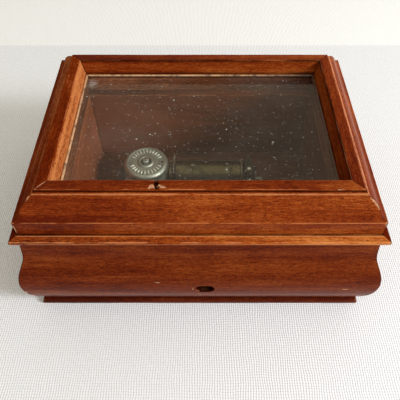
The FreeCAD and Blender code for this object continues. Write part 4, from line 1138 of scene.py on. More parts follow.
def softened(nodes: Sequence[str], finish: Finish, width: float) -> None:
    """Copies CAD nodes with their arrises rounded by a Bevel modifier, standing for the nodes.

    Args:
        nodes: The CAD nodes.
        finish: Their finish.
        width: The bevel's width in millimetres.
    """
    for node in nodes:
        source = bpy.data.objects[node]
        name = f"{node}_softened"
        piece = bpy.data.objects.new(name, merged(source.data, name, CAD_MERGE, FLAT))
        bevel = piece.modifiers.new("arrises", "BEVEL")
        bevel.width, bevel.segments, bevel.use_clamp_overlap = width * MM, BEVEL_STEPS, True
        bevel.limit_method, bevel.angle_limit = "ANGLE", np.radians(BEVEL_ANGLE)
        link(piece)
        applied(piece)
        bpy.context.scene.collection.objects.unlink(piece)
        dress(piece, finish, source["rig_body"], [node], SOFTENED_CREASE)


def carved(piece: bpy.types.Object, tools: Sequence[Shell]) -> None:
    """Cuts closed shells out of a piece, each with an exact Boolean.

    Args:
        piece: The piece.
        tools: The cutters.
    """
    cutters = []
    for shell in tools:
        cutter = bpy.data.objects.new("cutter", merged(shell.mesh("cutter"), "cutter", CUTTER_MERGE))
        link(cutter)
        boolean = piece.modifiers.new(cutter.name, "BOOLEAN")
        boolean.operation, boolean.solver, boolean.object = "DIFFERENCE", "EXACT", cutter
        cutters.append(cutter)
    applied(piece)
    for cutter in cutters:
        bpy.data.objects.remove(cutter)
    piece.data.shade_smooth()
    piece.data.set_sharp_from_angle(angle=np.radians(CREASE))


def corners_of(node: str) -> tuple[Array, Array]:
    """A CAD node's lowest and highest corners in millimetres."""
    low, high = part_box(node)
    return np.array(low) / MM, np.array(high) / MM


def kept(nodes: Sequence[str], finish: Finish) -> None:
    """Finishes CAD nodes that stay as they are.

    Args:
        nodes: The CAD nodes.
        finish: Their finish.
    """
    for node in nodes:
        own = bpy.data.objects[node]
        own.data.materials.clear()
        own.data.materials.append(finish.material())
        log.info("%s: kept", node)


def prism(outline: Array, low: float, high: float, flare: float, reach: float) -> Shell:
    """A straight-sided shape along Y between two places, flared towards its low end.

    Args:
        outline: (n, 2) points across X and Z, taken round the outline's own middle.
        low: The low end's place along Y.
        high: The high end's place.
        flare: How much wider the outline is at the low end, in millimetres.
        reach: How far along Y the flare fades out.

    Returns:
        The shell.
    """
    middle = outline.mean(0)
    away = outline - middle
    unit = away / np.linalg.norm(away, axis=1)[:, None]
    places = np.append(low + reach * np.array([0.0, 0.5, 1.0, 2.5, 10.0]), high)
    wide = flare * np.array([2.0, 1.0, 0.0, 0.0, 0.0, 0.0])
    flat = middle + away[None] + unit[None] * wide[:, None, None]
    y = np.broadcast_to(places[:, None], flat.shape[:2])
    return Shell.grid(np.stack([flat[..., 0], y, flat[..., 1]], -1))


# ---- The case ----

LEDGE = (176.0, 128.0)

PLINTH = Moulding(((-26, 0), (3.5, 0), (3.5, 2.2), (2, 4.2, -0.35), (2, 8), (-26, 8)), 0.25, 90)
WALL = Moulding((
    (-18.3, 8), (2.6, 8), (3.6, 9, -0.3), (7.9, 28, -0.112), (4.4, 42.2, -0.124), (1.6, 51, 0.092),
    (0.6, 62.2), (-18.3, 62.2)), 0.28, 150)
# The rim's glint places are painted highlights on its top inner arris and on its nose's lower edge; its dark line, at
# the foot of the lid, is painted shade in the gap.
RIM = Moulding((
    (-18.3, 62.2), (2.7, 62.2), (4, 63.5, -0.41), (4, 64.55), (3.2, 65.2, -0.41), (0.6, 66.1),
    (-18.3, 66.1)), 0.16, 130, wear_and_glint=((0.75, 66.05, 0.45), (3.9, 63.6, 0.5)), dirt_and_shade=((0.1, 66.1, 0.42),),
    dense=((0.1, 66.1, 0.9),))
# The lid's glint place is a painted highlight on the ovolo. Its dark lines are painted shade in the gap at its foot and
# in the quirk, and along the glass edge painted shade with some soiling. Its first shade darkens the flat top, more
# towards the left: painted shade; its second darkens the slope towards its foot.
LID = Moulding((
    (-15.3, 66.35), (0, 66.35), (0, 75.6), (-3.5, 78.4, 0.24), (-10.1, 85.2, -0.18), (-11, 85.5),
    (-11, 87), (-16.85, 87), (-19.5, 78.7), (-19.5, 78.1), (-15.3, 78.1)), 0.2, 150,
    wear_and_glint=((-9.7, 85.0, 0.6),), dirt_and_shade=((0, 66.4, 0.5), (-11, 85.7, 0.5), (-19.2, 79.3, 0.75)),
    painted_light_and_tone=((-14, 87, 3.3, -0.045, 1.25), (-1.4, 76.9, 1.9, -0.05, 0.4)))
BEAD = Moulding(((-19.3, 66.6), (-15.3, 66.6), (-15.3, 75.7), (-18.0, 75.7), (-19.3, 74.4, -0.35)), 0.2, 60)
GLAZING = Moulding(((-20.5, 78.1, -0.2), (-19.45, 78.1), (-19.45, 78.75)), 0.06, 26)

WOOD = StainedWood("varnished_wood")
PLINTH_WOOD = replace(WOOD, name="plinth_wood", dark=(0.035, 0.004, 0.001), mid=(0.085, 0.009, 0.0015),
                      pale=(0.16, 0.03, 0.006))
WALL_WOOD = replace(WOOD, name="wall_wood", dark=(0.055, 0.0055, 0.001), mid=(0.145, 0.0185, 0.002),
                    pale=(0.27, 0.062, 0.010))
# The rim is stained paler, partly a painted highlight on its upward faces; its inner face is darker, painted shade, and
# its tone rises along the grain, towards the right on the front and back: painted light.
RIM_WOOD = replace(WOOD, name="rim_wood", mid=(0.36, 0.068, 0.0080), pale=(0.60, 0.21, 0.045),
                   inside=(0.24, 0.066, 0.028), fade=0.0010)
BOARD_WOOD = replace(WOOD, name="board_wood", dark=(0.09, 0.022, 0.009), mid=(0.17, 0.06, 0.026),
                     pale=(0.28, 0.12, 0.06), varnish=0.1, roughness=0.55)
# The lid's tone rises along the grain, towards the right on the front and back rails: painted light.
LID_WOOD = StainedWood("lid_wood", fade=0.0004)
# The beads are darker: painted shade inside the lid. Their tone falls along the grain, paler towards the left on the
# front and back beads: painted light and shade.
BEAD_WOOD = replace(LID_WOOD, name="bead_wood", dark=(0.09, 0.026, 0.011), mid=(0.22, 0.066, 0.028),
                    pale=(0.42, 0.15, 0.07), varnish=0.1, fade=-0.0014)

MITRE = {Side.LEFT: (-1.0, -1.0, -0.9), Side.RIGHT: (1.0, -1.0, -0.9)}
CORNER_CHIPS = {
    Side.LEFT: (
        Dent((-74.3, -50.3, 87.0), (4.4, 0.30), 0.06, bare=0.62, way=(-1.0, -1.0, 0.0), seed=16),
        Dent((-87.9, -63.9, 70.5), (3.4, 0.75), 0.15, bare=1.0, way=(0.0, 0.0, 1.0), seed=19),
        Dent((-79.6, -55.6, 84.0), (2.0, 0.6), 0.08, bare=0.8, way=MITRE[Side.LEFT], seed=22),
    ),
    Side.RIGHT: (
        Dent((81.9, -57.9, 82.0), (5.6, 0.75), 0.12, bare=0.9, way=MITRE[Side.RIGHT], seed=17),
        Dent((87.8, -63.8, 74.4), (2.4, 0.85), 0.25, bare=1.0, way=(0.0, 0.0, 1.0), seed=18),
    ),
}
FOOT_CHIPS = (
    Dent((-95.3, -71.3, 20.5), (3.6, 0.9), 0.35, bare=1.0, way=(0.3, 0.3, 1.0), seed=4),
    Dent((-93.4, -69.4, 13.6), (2.6, 1.0), 0.35, bare=1.0, way=(0.6, 0.6, -1.0), seed=5),
)
WALL_DENTS = {
    Side.FRONT: (
        Dent((79.0, -71.8, 25.3), (1.5, 0.45), 0.28, bare=1.0, seed=3),
        Dent((-3.7, -71.9, 26.0), (2.0, 0.6), 0.10, bare=0.52, way=(0.0, 0.0, 1.0), seed=6),
        Dent((-49.0, -71.3, 39.0), (0.8, 0.6), 0.12, bare=0.9, seed=7),
        Dent((-39.0, -71.2, 38.6), (2.4, 0.5), 0.06, bare=0.6, way=(1.0, 0.0, -0.3), seed=23),
        Dent((-22.2, -71.8, 32.4), (2.2, 0.6), 0.10, bare=0.6, way=(1.0, 0.0, -0.2), seed=24),
        *FOOT_CHIPS,
    ),
    Side.LEFT: FOOT_CHIPS,
}
RIM_DENTS = {
    Side.FRONT: (
        Dent((91.8, -67.8, 64.0), (1.5, 0.9), 0.18, bare=0.9, way=(1.0, -1.0, 0.0), seed=8),
        Dent((-52.0, -67.9, 64.9), (1.0, 0.25), 0.10, bare=0.5, seed=9),
    ),
    Side.RIGHT: (Dent((91.8, -67.8, 64.0), (1.5, 0.9), 0.18, bare=0.9, way=(1.0, -1.0, 0.0), seed=8),),
}
LID_DENTS = {
    Side.FRONT: (
        Dent((-20.4, -50.0, 87.2), (5.2, 1.35), 1.5, grime=1.0, way=(0.0, 1.0, 0.0), edge=0.45, ragged=0.25,
             seed=12),
        Dent((-22.6, -51.2, 86.8), (2.4, 1.0), 0.30, bare=1.0, way=(1.0, 0.9, 0.0), ragged=0.4, seed=13),
        Dent((-17.8, -51.0, 86.9), (2.9, 0.9), 0.22, bare=1.0, way=(1.0, -0.5, 0.0), ragged=0.4, seed=14),
        Dent((65.2, -53.1, 86.8), (1.7, 0.8), 0.15, bare=1.0, seed=15),
        *CORNER_CHIPS[Side.LEFT],
        *CORNER_CHIPS[Side.RIGHT],
        Dent((41.0, -63.9, 75.5), (1.6, 0.25), 0.10, bare=0.4, seed=20),
    ),
    **CORNER_CHIPS,
}


@dataclass
class RailFrame:
    """Four mitred lengths of a moulding round the case, each with its own board's grain.

    Each length is named for the frame and its side. It stands for the CAD node of that name, unless the
    frame is loose. Special gives the sides whose profile differs in its points, soiling, painted light, shade
    and highlights, and tinted the values in which a side's finish differs, painted light among them.
    """

    name: str
    moulding: Moulding
    finish: Finish
    body: str
    slot: str
    seed: int
    dents: dict[Side, tuple[Dent, ...]] = field(default_factory=dict)
    focus: dict[Side, tuple[Triple, ...]] = field(default_factory=dict)
    special: dict[Side, Moulding] = field(default_factory=dict)
    tinted: dict[Side, dict[str, object]] = field(default_factory=dict)
    loose: bool = False
    board_step: float = 0.37

    def finish_of(self, side: Side) -> Finish:
        """The finish of one side.

        Args:
            side: The side.

        Returns:
            The finish; a wood one is turned along its rail and shifted for its board.
        """
        own = replace(self.finish, **self.tinted.get(side, {}))
        if isinstance(own, StainedWood):
            own = replace(own, name=f"{own.name}_{self.name}_{side.name.lower()}", grain=side.grain,
                          seed=self.seed + side.value * self.board_step)
        return own

    def build(self) -> dict[Side, bpy.types.Object]:
        """Builds and dresses the rails.

        Returns:
            The piece on each side.
        """
        pieces = {}
        for side in Side:
            rail = Rail(side, self.special.get(side, self.moulding), LEDGE, self.dents.get(side, ()),
                        self.focus.get(side, ()), self.seed * 10 + side.value)
            node = f"{self.name}_{side.name.lower()}"
            name, stands_for = (node, []) if self.loose else (f"{node}_wood", [node])
            pieces[side] = rail.shell().piece(name, self.finish_of(side), self.body, self.slot, stands_for)
        return pieces


@dataclass
class Case:
    """The plinth, the ogee walls with the slide's slot, the rim and the bottom board."""

    slot_middle: Pair = (2.7, 25.7)
    slot_length: float = 10.2
    slot_height: float = 7.0
    slot_run: Pair = (-72.4, -44.0)
    slot_flare: float = 0.16
    slot_wobble: float = 0.05
    soiled_and_shaded_run: Pair = (-71.55, -46.2)
    splinter: float = 0.53
    splinter_x: Pair = (0.4, -1.2)
    splinter_y: Pair = (-70.2, -71.0)
    screw_places: Pair = (58.0, 41.85)
    screw_hole: tuple[Pair, ...] = ((0, -1), (3.0, -1), (3.0, 0.1), (1.25, 1.5), (1.25, 9), (0, 9))
    rim_mortise: float = 65.1
    board_arris: float = 0.12

    def slot_cutter(self) -> Shell:
        """The oblong slot's cutter.

        Returns:
            Two half circles joined by lines, ragged and flared at the outside.
        """
        half, radius = (self.slot_length - self.slot_height) / 2, self.slot_height / 2
        angle = np.linspace(0, 2 * np.pi, 96, endpoint=False)
        round_way = np.stack([np.cos(angle), np.sin(angle)], -1)
        wobble = radius + self.slot_wobble * ripples(round_way, 0.5, 31)
        outline = self.slot_middle + wobble[:, None] * round_way
        outline[:, 0] += half * np.sign(round_way[:, 0])
        return prism(outline, *self.slot_run, self.slot_flare, 1.0)

    def soil_and_shade_slot(self, wall: bpy.types.Object) -> None:
        """Darkens the slot's sides behind its mouth with painted shadow and some soiling, and leaves the mouth's left
        end splintered.

        Args:
            wall: The front wall, with its slot cut. Its points inside the slot's outline, between its mouth
                and the wall's inner face, get new values.
        """
        points = np.empty(len(wall.data.vertices) * 3, np.float32)
        wall.data.vertices.foreach_get("co", points)
        x, y, z = points.reshape(-1, 3).T / MM
        within = [np.abs(value - middle) < size / 2 + 0.1 for value, middle, size in
                  zip((x, z), self.slot_middle, (self.slot_length, self.slot_height))]
        inside = within[0] & within[1] & (y > self.soiled_and_shaded_run[0]) & (y < self.soiled_and_shaded_run[1])
        splintered = smooth(*self.splinter_x, x) * smooth(*self.splinter_y, y)
        # Inside the slot: painted shadow with some soiling; at the splinter: bare wood.
        for key, values in (("grime", 1 - splintered), ("bare", self.splinter * splintered)):
            layer = wall.data.attributes[key].data
            held = np.empty(len(x), np.float32)
            layer.foreach_get("value", held)
            held[inside] = values[inside]
            layer.foreach_set("value", held)

    def build_plinth(self) -> None:
        """The plinth, with the bottom board's screw holes in its front and back lengths."""
        plinth = RailFrame("plinth", PLINTH, PLINTH_WOOD, "case", "mahogany", 1).build()
        across, along = self.screw_places
        hole = turned(self.screw_hole, sides=32, closed=False)
        for side, sign in ((Side.FRONT, -1), (Side.BACK, 1)):
            carved(plinth[side], [hole.moved((x, sign * along, 0)) for x in (-across, across)])

    def build_walls(self) -> None:
        """The ogee walls, with the slide's slot in the front one."""
        focus = {Side.FRONT: ((self.slot_middle[0], 9.0, 0.45), (79.0, 2.5, 0.2), (-36.0, 17.0, 0.6))}
        # The front wall's swell is paler low down: a painted reflection of the pale cloth in its varnish.
        marked = replace(WALL, dense=((7.2, 34.0, 6.0),), count=190, painted_light_and_tone=((6.6, 17.5, 5.5, 0.022, 0.0),))
        # Inside, the back wall is darker and darkens towards the right, and the right wall is darker still: painted
        # shade on faces the light doesn't reach.
        tinted = {Side.BACK: {"inside": (0.27, 0.075, 0.032), "fade": -0.0014},
                  Side.RIGHT: {"inside": (0.22, 0.065, 0.03)}, Side.LEFT: {"varnish": 0.2}}
        walls = RailFrame("wall", WALL, WALL_WOOD, "case", "mahogany", 2, WALL_DENTS, focus,
                          {Side.FRONT: marked}, tinted).build()
        carved(walls[Side.FRONT], [self.slot_cutter()])
        self.soil_and_shade_slot(walls[Side.FRONT])

    def build_rim(self, hinges: "Hinges") -> None:
        """The rim, duller and darker at its ends.

        Args:
            hinges: The hinges that are let into its back.
        """
        # The rim's ends are darker, their glint lines dark too; on the left end, away from the light, that is painted
        # shade.
        end = replace(RIM, painted_light_and_tone=((2.4, 64.5, 4.0, -0.30, 0.0),), wear_and_glint=())
        dull = {"varnish": 0.1, "gloss": 0.0, "wear_and_glint": (0.22, 0.06, 0.02)}
        rim = RailFrame("rim", RIM, RIM_WOOD, "case", "mahogany", 3, RIM_DENTS,
                        special={Side.LEFT: end, Side.RIGHT: end}, tinted={Side.LEFT: dull, Side.RIGHT: dull}).build()
        carved(rim[Side.BACK], hinges.mortises(self.rim_mortise))

    def build(self, hinges: "Hinges") -> None:
        """Builds and dresses the wooden pieces of the case.

        Args:
            hinges: The hinges that they are cut for.
        """
        self.build_plinth()
        self.build_walls()
        self.build_rim(hinges)
        softened(["bottom_board"], BOARD_WOOD, self.board_arris)


@dataclass
class Lid:
    """The moulded lid frame, its glass, and the beads and the glazing line that hold it."""

    mortise: float = 66.35
    pane_chamfer: float = 0.3
    pane_crease: float = 20.0
    glazing_shaded_from: Pair = (0.0, 75.0)

    def build_rails(self) -> dict[Side, bpy.types.Object]:
        """The lid's rails, each side with its own tone, soiling, painted light and shade, and painted highlights.

        Returns:
            The rail on each side.
        """
        focus = {Side.FRONT: ((-20.0, 8.0, 0.16), (65.2, 2.0, 0.2))}
        # The back and right rails get a dark line painted along the top's inner arris: painted shade.
        back = replace(LID, dirt_and_shade=(*LID.dirt_and_shade, (-16.9, 86.7, 0.75)))
        special = {
            Side.FRONT: replace(LID, dense=((-13.0, 87.0, 3.6),), count=LID.count * 2),
            # The left splay is paler: painted light where the lamp falls on it.
            Side.LEFT: replace(LID, painted_light_and_tone=(*LID.painted_light_and_tone, (-18.4, 82.0, 3.6, 0.12, 0.0), (-17.4, 85.5, 1.7, 0.13, 0.0)),
                               dirt_and_shade=(*LID.dirt_and_shade[:2], (-19.2, 79.3, 0.4))),
            Side.BACK: back,
            # The right rail's top is darker all along: painted shade.
            Side.RIGHT: replace(back, painted_light_and_tone=((-14, 87, 3.3, -0.07, 0.0), LID.painted_light_and_tone[1])),
        }
        # The left rail is paler and its glint lines dimmer: painted light; the right rail's glint lines are bright:
        # painted highlights.
        tinted = {Side.LEFT: {"varnish": 0.06, "gloss": 0.0, "pale": (0.56, 0.19, 0.058), "wear_and_glint": (0.40, 0.13, 0.05)},
                  Side.RIGHT: {"varnish": 0.35, "wear_and_glint": (0.80, 0.34, 0.17)}}
        return RailFrame("lid_rail", LID, LID_WOOD, "lid", "mahogany", 5, LID_DENTS, focus, special, tinted).build()

    def build(self, hinges: "Hinges") -> None:
        """Builds and dresses the lid.

        Args:
            hinges: The hinges that are let into its back rail.
        """
        carved(self.build_rails()[Side.BACK], hinges.mortises(self.mortise))
        RailFrame("glass_bead", BEAD, BEAD_WOOD, "lid", "bead_wood", 7).build()
        # The front and right glazing lines are dark: painted shade on the lines turned from the light. The back line
        # darkens towards the right the same way.
        dirt_and_shade = {"name": "dirty_sealant", "colour": (0.10, 0.05, 0.025), "dirt_and_shade_colour": (0.04, 0.02, 0.01),
                 "painted_shade_from": Sealant.painted_shade_from}
        RailFrame("glazing_line", GLAZING, Sealant("glazing_sealant", painted_shade_from=self.glazing_shaded_from), "lid", "", 9,
                  tinted={Side.FRONT: dirt_and_shade, Side.RIGHT: dirt_and_shade}, loose=True).build()
        pane = blocks(*corners_of("glass_pane"), self.pane_chamfer)
        pane.piece("lid_glass", PaneGlass("pane_glass"), "lid", "glass", ["glass_pane"], self.pane_crease)


@dataclass
class Hinges:
    """The two butt hinges let into the lid and the rim."""

    middles: Pair = (-52.0, 52.0)
    length: float = 26.0
    axis: Pair = (65.6, 66.2)
    leaf: Pair = (55.0, 63.5)
    thickness: float = 1.0
    knuckle: float = 1.8
    room: float = 0.4
    slack: float = 0.03

    def mortises(self, low: float) -> list[Shell]:
        """The cutters that let the leaves and the knuckles into a back rail.

        Args:
            low: The height of a leaf's underside.

        Returns:
            A block and a rod for each hinge.
        """
        tools, slack = [], self.slack
        for middle in self.middles:
            start, stop = middle - self.length / 2, middle + self.length / 2
            tools.append(blocks(np.array([start - slack, self.leaf[0] - slack, low - slack]),
                                np.array([stop + slack, self.axis[0], low + self.thickness + slack]), 0.01))
            reach = self.knuckle + self.room
            rod = turned([(0, start - self.room), (reach, start - self.room), (reach, stop + self.room),
                          (0, stop + self.room)], sides=48, closed=False)
            tools.append(on_axis(rod, Grain.X, (0, *self.axis)))
        return tools

    def build(self) -> None:
        """Dresses the leaves, pins and screws."""
        brass = PlainMetal("hinge_brass", (0.62, 0.42, 0.17), (0.24, 0.15, 0.06), roughness=0.34, tarnish=0.8)
        softened(["lid_hinge_leaves", "case_hinge_leaves"], brass, 0.12)
        screws = PlainMetal("turned_brass", (0.66, 0.46, 0.20), (0.28, 0.18, 0.07), Grain.Y, roughness=0.30,
                            tarnish=0.6)
        softened(["lid_hinge_screws", "case_hinge_screws", "slide_screws"], screws, 0.08)
        kept(["hinge_pins"], PlainMetal("pin_steel", (0.55, 0.54, 0.52), (0.25, 0.23, 0.2)))


# ---- The movement ----


@dataclass
class Barrel:
    """The spring barrel: drum, pressed cover with a ring of raised bars, winding arbor and key."""

    axis: Pair = (-34.2, 12.75)
    bore: float = 2.05
    top: float = 36.0
    inner: float = 13.2
    outer: float = 14.0
    edge: float = 2.5
    skirt: float = 32.0
    seat: float = 1.4
    ring: Pair = (5.4, 11.4)
    ring_depth: float = 0.3
    ring_slope: Pair = (0.05, -0.35)
    boss_rise: float = 0.4
    cup_wall: float = 0.55
    cup_depth: float = 0.5
    boss: Pair = (3.7, 4.5)
    bar_radii: Pair = (7.9, 10.5)
    bar_height: float = 0.55
    bar_half: float = 0.40
    bars: int = 11
    bar_spread: float = 66.0
    bar_chamfer: float = 0.16
    vent: float = 0.8
    vent_reach: float = 10.0
    vent_run: Pair = (30.0, 38.0)
    # How dark the cup round the arbor, the top and the ring about the bars are made: painted shade in the cup and about
    # the bars, light soiling on the top.
    cup_grime: float = 0.9
    top_grime: float = 0.12
    bar_grime: float = 0.30
    bar_grime_reach: float = 1.6

    def cover(self) -> Shell:
        """The cover's outline carried round the axis.

        Returns:
            The cover, with a sunk ring and a raised rim round its boss, painted shade in its cup and about its bars,
            and light soiling on its top.
        """
        floor = self.top - self.ring_depth
        cover = turned([
            (self.bore, self.top - self.seat), (self.inner, self.top - self.seat),
            (self.inner, self.skirt), (self.outer, self.skirt),
            (self.outer, self.top - self.edge), (self.outer - self.edge, self.top, -QUARTER_BULGE),
            (self.ring[1] + self.ring_slope[0], self.top), (self.ring[1] + self.ring_slope[1], floor),
            (self.ring[0], floor), (self.boss[1], self.top + self.boss_rise), (self.boss[0], self.top + self.boss_rise),
            (self.boss[0] - self.cup_wall, floor - self.cup_depth), (self.bore, floor - self.cup_depth),
        ], softness=0.12, count=150, sides=128)
        radius = np.hypot(cover.points[:, 0], cover.points[:, 1])
        above = smooth(floor - 0.8, floor - 0.6, cover.points[:, 2])
        # Painted shade in the cup and about the bars, light soiling on the top.
        cup = above * smooth(self.boss[0] - 0.1, self.boss[0] - 0.5, radius)
        barred = np.exp(-(((radius - sum(self.bar_radii) / 2) / self.bar_grime_reach) ** 4))
        soiled_and_shaded = self.cup_grime * cup + above * (self.top_grime + self.bar_grime * barred)
        cover.marks["grime"] = np.maximum(cover.marks["grime"], soiled_and_shaded)
        return cover

    def raised_bars(self) -> Shell:
        """Short radial bars pressed up in two arcs.

        Returns:
            The bars, each a chamfered block turned to its own angle.
        """
        floor = self.top - self.ring_depth
        spread = np.linspace(-self.bar_spread, self.bar_spread, self.bars)
        angles = np.radians(np.concatenate([90 + spread, 270 + spread]))
        count = len(angles)
        low = np.tile([self.bar_radii[0], -self.bar_half, floor - 0.2], (count, 1))
        high = np.tile([self.bar_radii[1], self.bar_half, floor + self.bar_height], (count, 1))
        shell = blocks(low, high, self.bar_chamfer)
        local = shell.points.reshape(count, 24, 3)
        cos, sin = np.cos(angles)[:, None], np.sin(angles)[:, None]
        turned_to = np.stack([
            local[..., 0] * cos - local[..., 1] * sin, local[..., 0] * sin + local[..., 1] * cos, local[..., 2]], -1)
        return Shell(turned_to.reshape(-1, 3), shell.faces)

    def build(self) -> None:
        """Builds the cover, and dresses it and the rest of the barrel, the winding work and the click."""
        nickel = PlainMetal("satin_nickel", (0.62, 0.60, 0.53), (0.33, 0.31, 0.26), roughness=0.46, brushing=0.35,
                            tarnish=0.7, speckle=0.5)
        # The raised bars are pale and half metallic: polished bright by use, and a painted highlight.
        wear_and_glint = replace(nickel, name="rubbed_nickel", bright=(0.95, 0.93, 0.86), dull=(0.7, 0.67, 0.6), roughness=0.3,
                         metal=0.4)
        place = (*self.axis, 0)
        cover = self.cover().moved(place).piece("barrel_cover_pressing", nickel, "barrel", "nickel", ["barrel_cover"])
        low, high = self.vent_run
        hole = turned([(0, low), (self.vent, low), (self.vent, high), (0, high)], sides=28, closed=False)
        carved(cover, [hole.moved((self.axis[0] + self.vent_reach, self.axis[1], 0))])
        self.raised_bars().moved(place).piece("barrel_cover_bars", wear_and_glint, "barrel", "nickel")
        softened(["barrel_drum"], replace(nickel, name="drum_nickel", tarnish=0.9), 0.06)
        spring = PlainMetal("blued_spring", (0.16, 0.17, 0.22), (0.07, 0.06, 0.07), Grain.Z, roughness=0.3,
                            tarnish=0.6)
        kept(["mainspring", "click_spring"], spring)
        steel = PlainMetal("bright_steel", (0.58, 0.57, 0.55), (0.28, 0.26, 0.23), Grain.Z, roughness=0.25,
                           tarnish=0.5)
        softened(["ratchet_wheel", "click", "click_stud"], steel, 0.06)
        polished = replace(steel, name="polished_arbor", bright=(0.80, 0.79, 0.76), dull=(0.4, 0.38, 0.34), metal=0.9)
        softened(["winding_arbor"], polished, 0.06)
        key = PlainMetal("key_nickel", (0.66, 0.63, 0.56), (0.33, 0.29, 0.22), Grain.Z, roughness=0.22,
                         tarnish=0.6, speckle=0.5)
        softened(["winding_key"], key, 0.3)


@dataclass
class Cylinder:
    """The pinned cylinder with its end caps and wheels."""

    centre: Pair = (12.75, 24.506)
    ends: Pair = (-15.5, 25.8)
    radius: float = 8.4
    wall: float = 0.9
    pin_height: float = 0.42
    pin_radius: float = 0.16
    tracks: int = 36
    track_ends: Pair = (-14.4, 24.7)
    pin_count: int = 1500
    pin_taper: float = 0.75
    pin_root: float = 0.2
    pin_scatter: float = 0.05
    pin_seed: int = 52

    def tube(self) -> Shell:
        """The tube.

        Returns:
            Its wall's outline carried round X.
        """
        inside, (start, stop) = self.radius - self.wall, self.ends
        loop = [(inside, start), (self.radius, start), (self.radius, stop), (inside, stop)]
        return on_axis(turned(loop, softness=0.08, count=60, sides=144), Grain.X, (0, *self.centre))

    def pins(self) -> Shell:
        """The pins.

        Returns:
            Slim tapered hexagons, each standing off the tube at a seeded place on a tooth's track.
        """
        rng = np.random.default_rng(self.pin_seed)
        places = np.linspace(*self.track_ends, self.tracks)
        track = rng.integers(0, self.tracks, self.pin_count)
        x = places[track] + rng.normal(0, self.pin_scatter, self.pin_count)
        angle = rng.uniform(0, 2 * np.pi, self.pin_count)
        around = np.arange(6) * np.pi / 3
        radii = np.array([self.radius - self.pin_root, self.radius + self.pin_height])[None, :, None]
        half = np.array([self.pin_radius, self.pin_radius * self.pin_taper])[None, :, None]
        out_x = x[:, None, None] + half * np.cos(around)[None, None, :]
        side = half * np.sin(around)[None, None, :]
        cos, sin = np.cos(angle)[:, None, None], np.sin(angle)[:, None, None]
        out_y = self.centre[0] + radii * cos - side * sin
        out_z = self.centre[1] + radii * sin + side * cos
        points = np.stack(np.broadcast_arrays(out_x, out_y, out_z), -1).reshape(-1, 3)
        ring = np.arange(6)
        sides = np.stack([ring, (ring + 1) % 6, (ring + 1) % 6 + 6, ring + 6], -1)
        starts = (np.arange(self.pin_count) * 12)[:, None, None]
        quads = (sides[None] + starts).reshape(-1, 4)
        caps = (np.array([ring[::-1], ring + 6])[None] + starts).reshape(-1, 6)
        return Shell(points, [quads, caps]).outward()

    def build(self) -> None:
        """Builds the tube and its pins, and dresses them and the wheels."""
        # The cylinder's brass, its pins and its wheels are darker than clean metal: tarnish, and painted shade on the
        # movement under the lid.
        aged_and_shaded = PlainMetal("aged_brass", (0.17, 0.125, 0.062), (0.07, 0.048, 0.026), Grain.Y, roughness=0.42,
                          tarnish=0.8)
        self.tube().piece("cylinder_tube_turned", aged_and_shaded, "cylinder", "cylinder_brass", ["cylinder_tube"])
        wire = PlainMetal("pin_wire", (0.42, 0.38, 0.29), (0.22, 0.18, 0.11), roughness=0.3)
        self.pins().piece("cylinder_pins", wire, "cylinder", "steel")
        brass = PlainMetal("wheel_brass", (0.20, 0.15, 0.08), (0.08, 0.056, 0.03), Grain.Z, roughness=0.4,
                           tarnish=0.8)
        softened(["cylinder_end_caps", "drive_gear", "worm_wheel", "fly", "bracket_rivets"], brass, 0.06)
        cut = replace(brass, name="cut_brass", bright=(0.33, 0.26, 0.15), dull=(0.15, 0.11, 0.06))
        softened(["cylinder_wheel"], cut, 0.06)
        steel = PlainMetal("arbor_steel", (0.58, 0.57, 0.55), (0.28, 0.26, 0.23), roughness=0.25, tarnish=0.4)
        kept(["cylinder_arbor", "governor_arbor", "governor_pinion", "worm_shaft"], steel)


@dataclass
class Bed:
    """The bedplate with its bracket, governor frame and comb, and the stop slide. The sizes are arrises."""

    castings: tuple[tuple[str, float], ...] = (("bedplate", 0.25), ("governor_frame", 0.15), ("comb_block", 0.3))
    bracket: float = 0.15
    comb: float = 0.05
    cap: float = 0.12
    screws: float = 0.12
    slide: float = 0.1

    def build(self) -> None:
        """Dresses the castings, the comb, the screws and the slide."""
        # The castings' lacquer is made dark: painted shade on the movement under the lid.
        cast = Lacquer("bronze_lacquer")
        for node, width in self.castings:
            softened([node], cast, width)
        pale = replace(cast, name="bracket_lacquer", colour=(0.42, 0.37, 0.28), shade=(0.24, 0.20, 0.15))
        softened(["left_bracket"], pale, self.bracket)
        # The comb's steel is made dark: painted shade, for the comb lies in shade.
        ground = PlainMetal("ground_comb_steel", (0.11, 0.10, 0.083), (0.06, 0.053, 0.043), roughness=0.4,
                            brushing=0.9, tarnish=0.5)
        softened(["comb"], ground, self.comb)
        # The governor cap is near white and half metallic: a painted highlight.
        nickel = PlainMetal("cap_nickel", (0.92, 0.90, 0.86), (0.6, 0.57, 0.5), roughness=0.25, tarnish=0.3, metal=0.5)
        softened(["governor_cap"], nickel, self.cap)
        zinc = PlainMetal("zinc_screws", (0.50, 0.50, 0.50), (0.27, 0.26, 0.24), Grain.Z, roughness=0.32,
                          tarnish=0.5)
        softened(["comb_screws", "movement_screws", "board_screws"], zinc, self.screws)
        grey = PlainMetal("slide_steel", (0.46, 0.44, 0.40), (0.22, 0.2, 0.17), roughness=0.36, tarnish=0.7)
        softened(["stop_slide"], grey, self.slide)


# ---- The studio ----


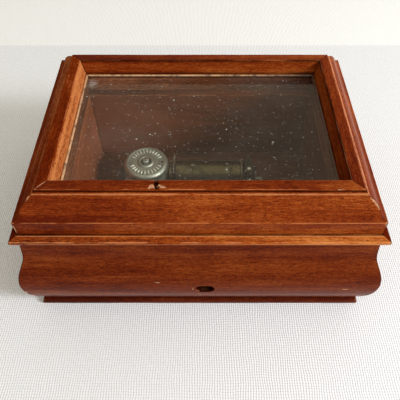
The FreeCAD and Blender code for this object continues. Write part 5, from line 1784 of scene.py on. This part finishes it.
@dataclass
class Studio:
    """The pale floor, the soft light and the camera."""

    camera_at: Triple = (0.08, -190.24, 251.57)
    tilt: float = 38.53
    lens: float = 41.85
    sensor: float = 36.0
    nearest: float = 0.01
    key_way: Triple = (1.0, -0.45, 0.70)
    key_distance: float = 1.3
    key_size: float = 0.34
    key_power: float = 13.2
    key_colour: Colour = (0.97, 1.0, 1.07)
    aim: float = 0.04
    fill: Pair = (0.30, 0.80)
    fill_way: Triple = (0.75, -0.35, 0.45)
    fill_colour: Colour = (1.0, 0.945, 0.82)
    fill_spread: float = 0.9
    floor_half: float = 6.0
    floor_gap: float = 0.01

    def camera(self) -> None:
        """The camera, about 315 mm from the origin, in front of the box and looking down at it."""
        data = bpy.data.cameras.new("camera")
        data.lens, data.sensor_width, data.clip_start = self.lens, self.sensor, self.nearest
        camera = bpy.data.objects.new("camera", data)
        camera.location = tuple(v * MM for v in self.camera_at)
        camera.rotation_euler = (np.radians(self.tilt), 0, 0)
        link(camera)
        bpy.context.scene.camera = camera

    def floor(self) -> None:
        """A wide flat sheet under the box."""
        mesh = bpy.data.meshes.new("floor")
        half = self.floor_half
        low = -self.floor_gap * MM
        corners = [(-half, -half, low), (half, -half, low), (half, half, low), (-half, half, low)]
        mesh.from_pydata(corners, [], [(0, 1, 2, 3)])
        mesh.materials.append(Canvas("canvas_cloth").material())
        floor = bpy.data.objects.new("floor", mesh)
        link(floor)

    def window(self) -> None:
        """A square area lamp at the right, whose own Z axis lies along the way to it, so that it faces the box."""
        data = bpy.data.lights.new("window", "AREA")
        data.shape, data.size, data.energy, data.color = "SQUARE", self.key_size, self.key_power, self.key_colour
        lamp = bpy.data.objects.new("window", data)
        place = Vector(self.key_way).normalized() * self.key_distance
        lamp.location = place + Vector((0, 0, self.aim))
        lamp.rotation_euler = place.to_track_quat("Z", "Y").to_euler()
        link(lamp)

    def world(self) -> None:
        """A soft pale room, brighter on the window's side."""
        world = bpy.data.worlds.new("soft_room")
        bpy.context.scene.world = world
        world.use_nodes = True
        shader = Shader(world.node_tree)
        way = shader.node("ShaderNodeTexCoord", output="Generated")
        lit = shader.node("ShaderNodeVectorMath", {"operation": "DOT_PRODUCT"}, {0: way, 1: self.fill_way}, "Value")
        low, high = self.fill
        strength = lit.within(-self.fill_spread, self.fill_spread) * (high - low) + low
        room = shader.node("ShaderNodeBackground", {}, {"Color": self.fill_colour, "Strength": strength})
        shader.node("ShaderNodeOutputWorld", {}, {"Surface": room})

    def build(self) -> None:
        """Sets up everything that isn't the box."""
        self.camera()
        self.floor()
        self.window()
        self.world()
        bpy.context.scene.view_settings.view_transform = "Standard"


def main() -> None:
    """Builds the studio and the box."""
    logging.basicConfig(level=logging.INFO, format="%(name)s: %(message)s")
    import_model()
    Studio().build()
    hinges = Hinges()
    Case().build(hinges)
    Lid().build(hinges)
    hinges.build()
    Barrel().build()
    Cylinder().build()
    Bed().build()


if __name__ == "__main__":
    main()
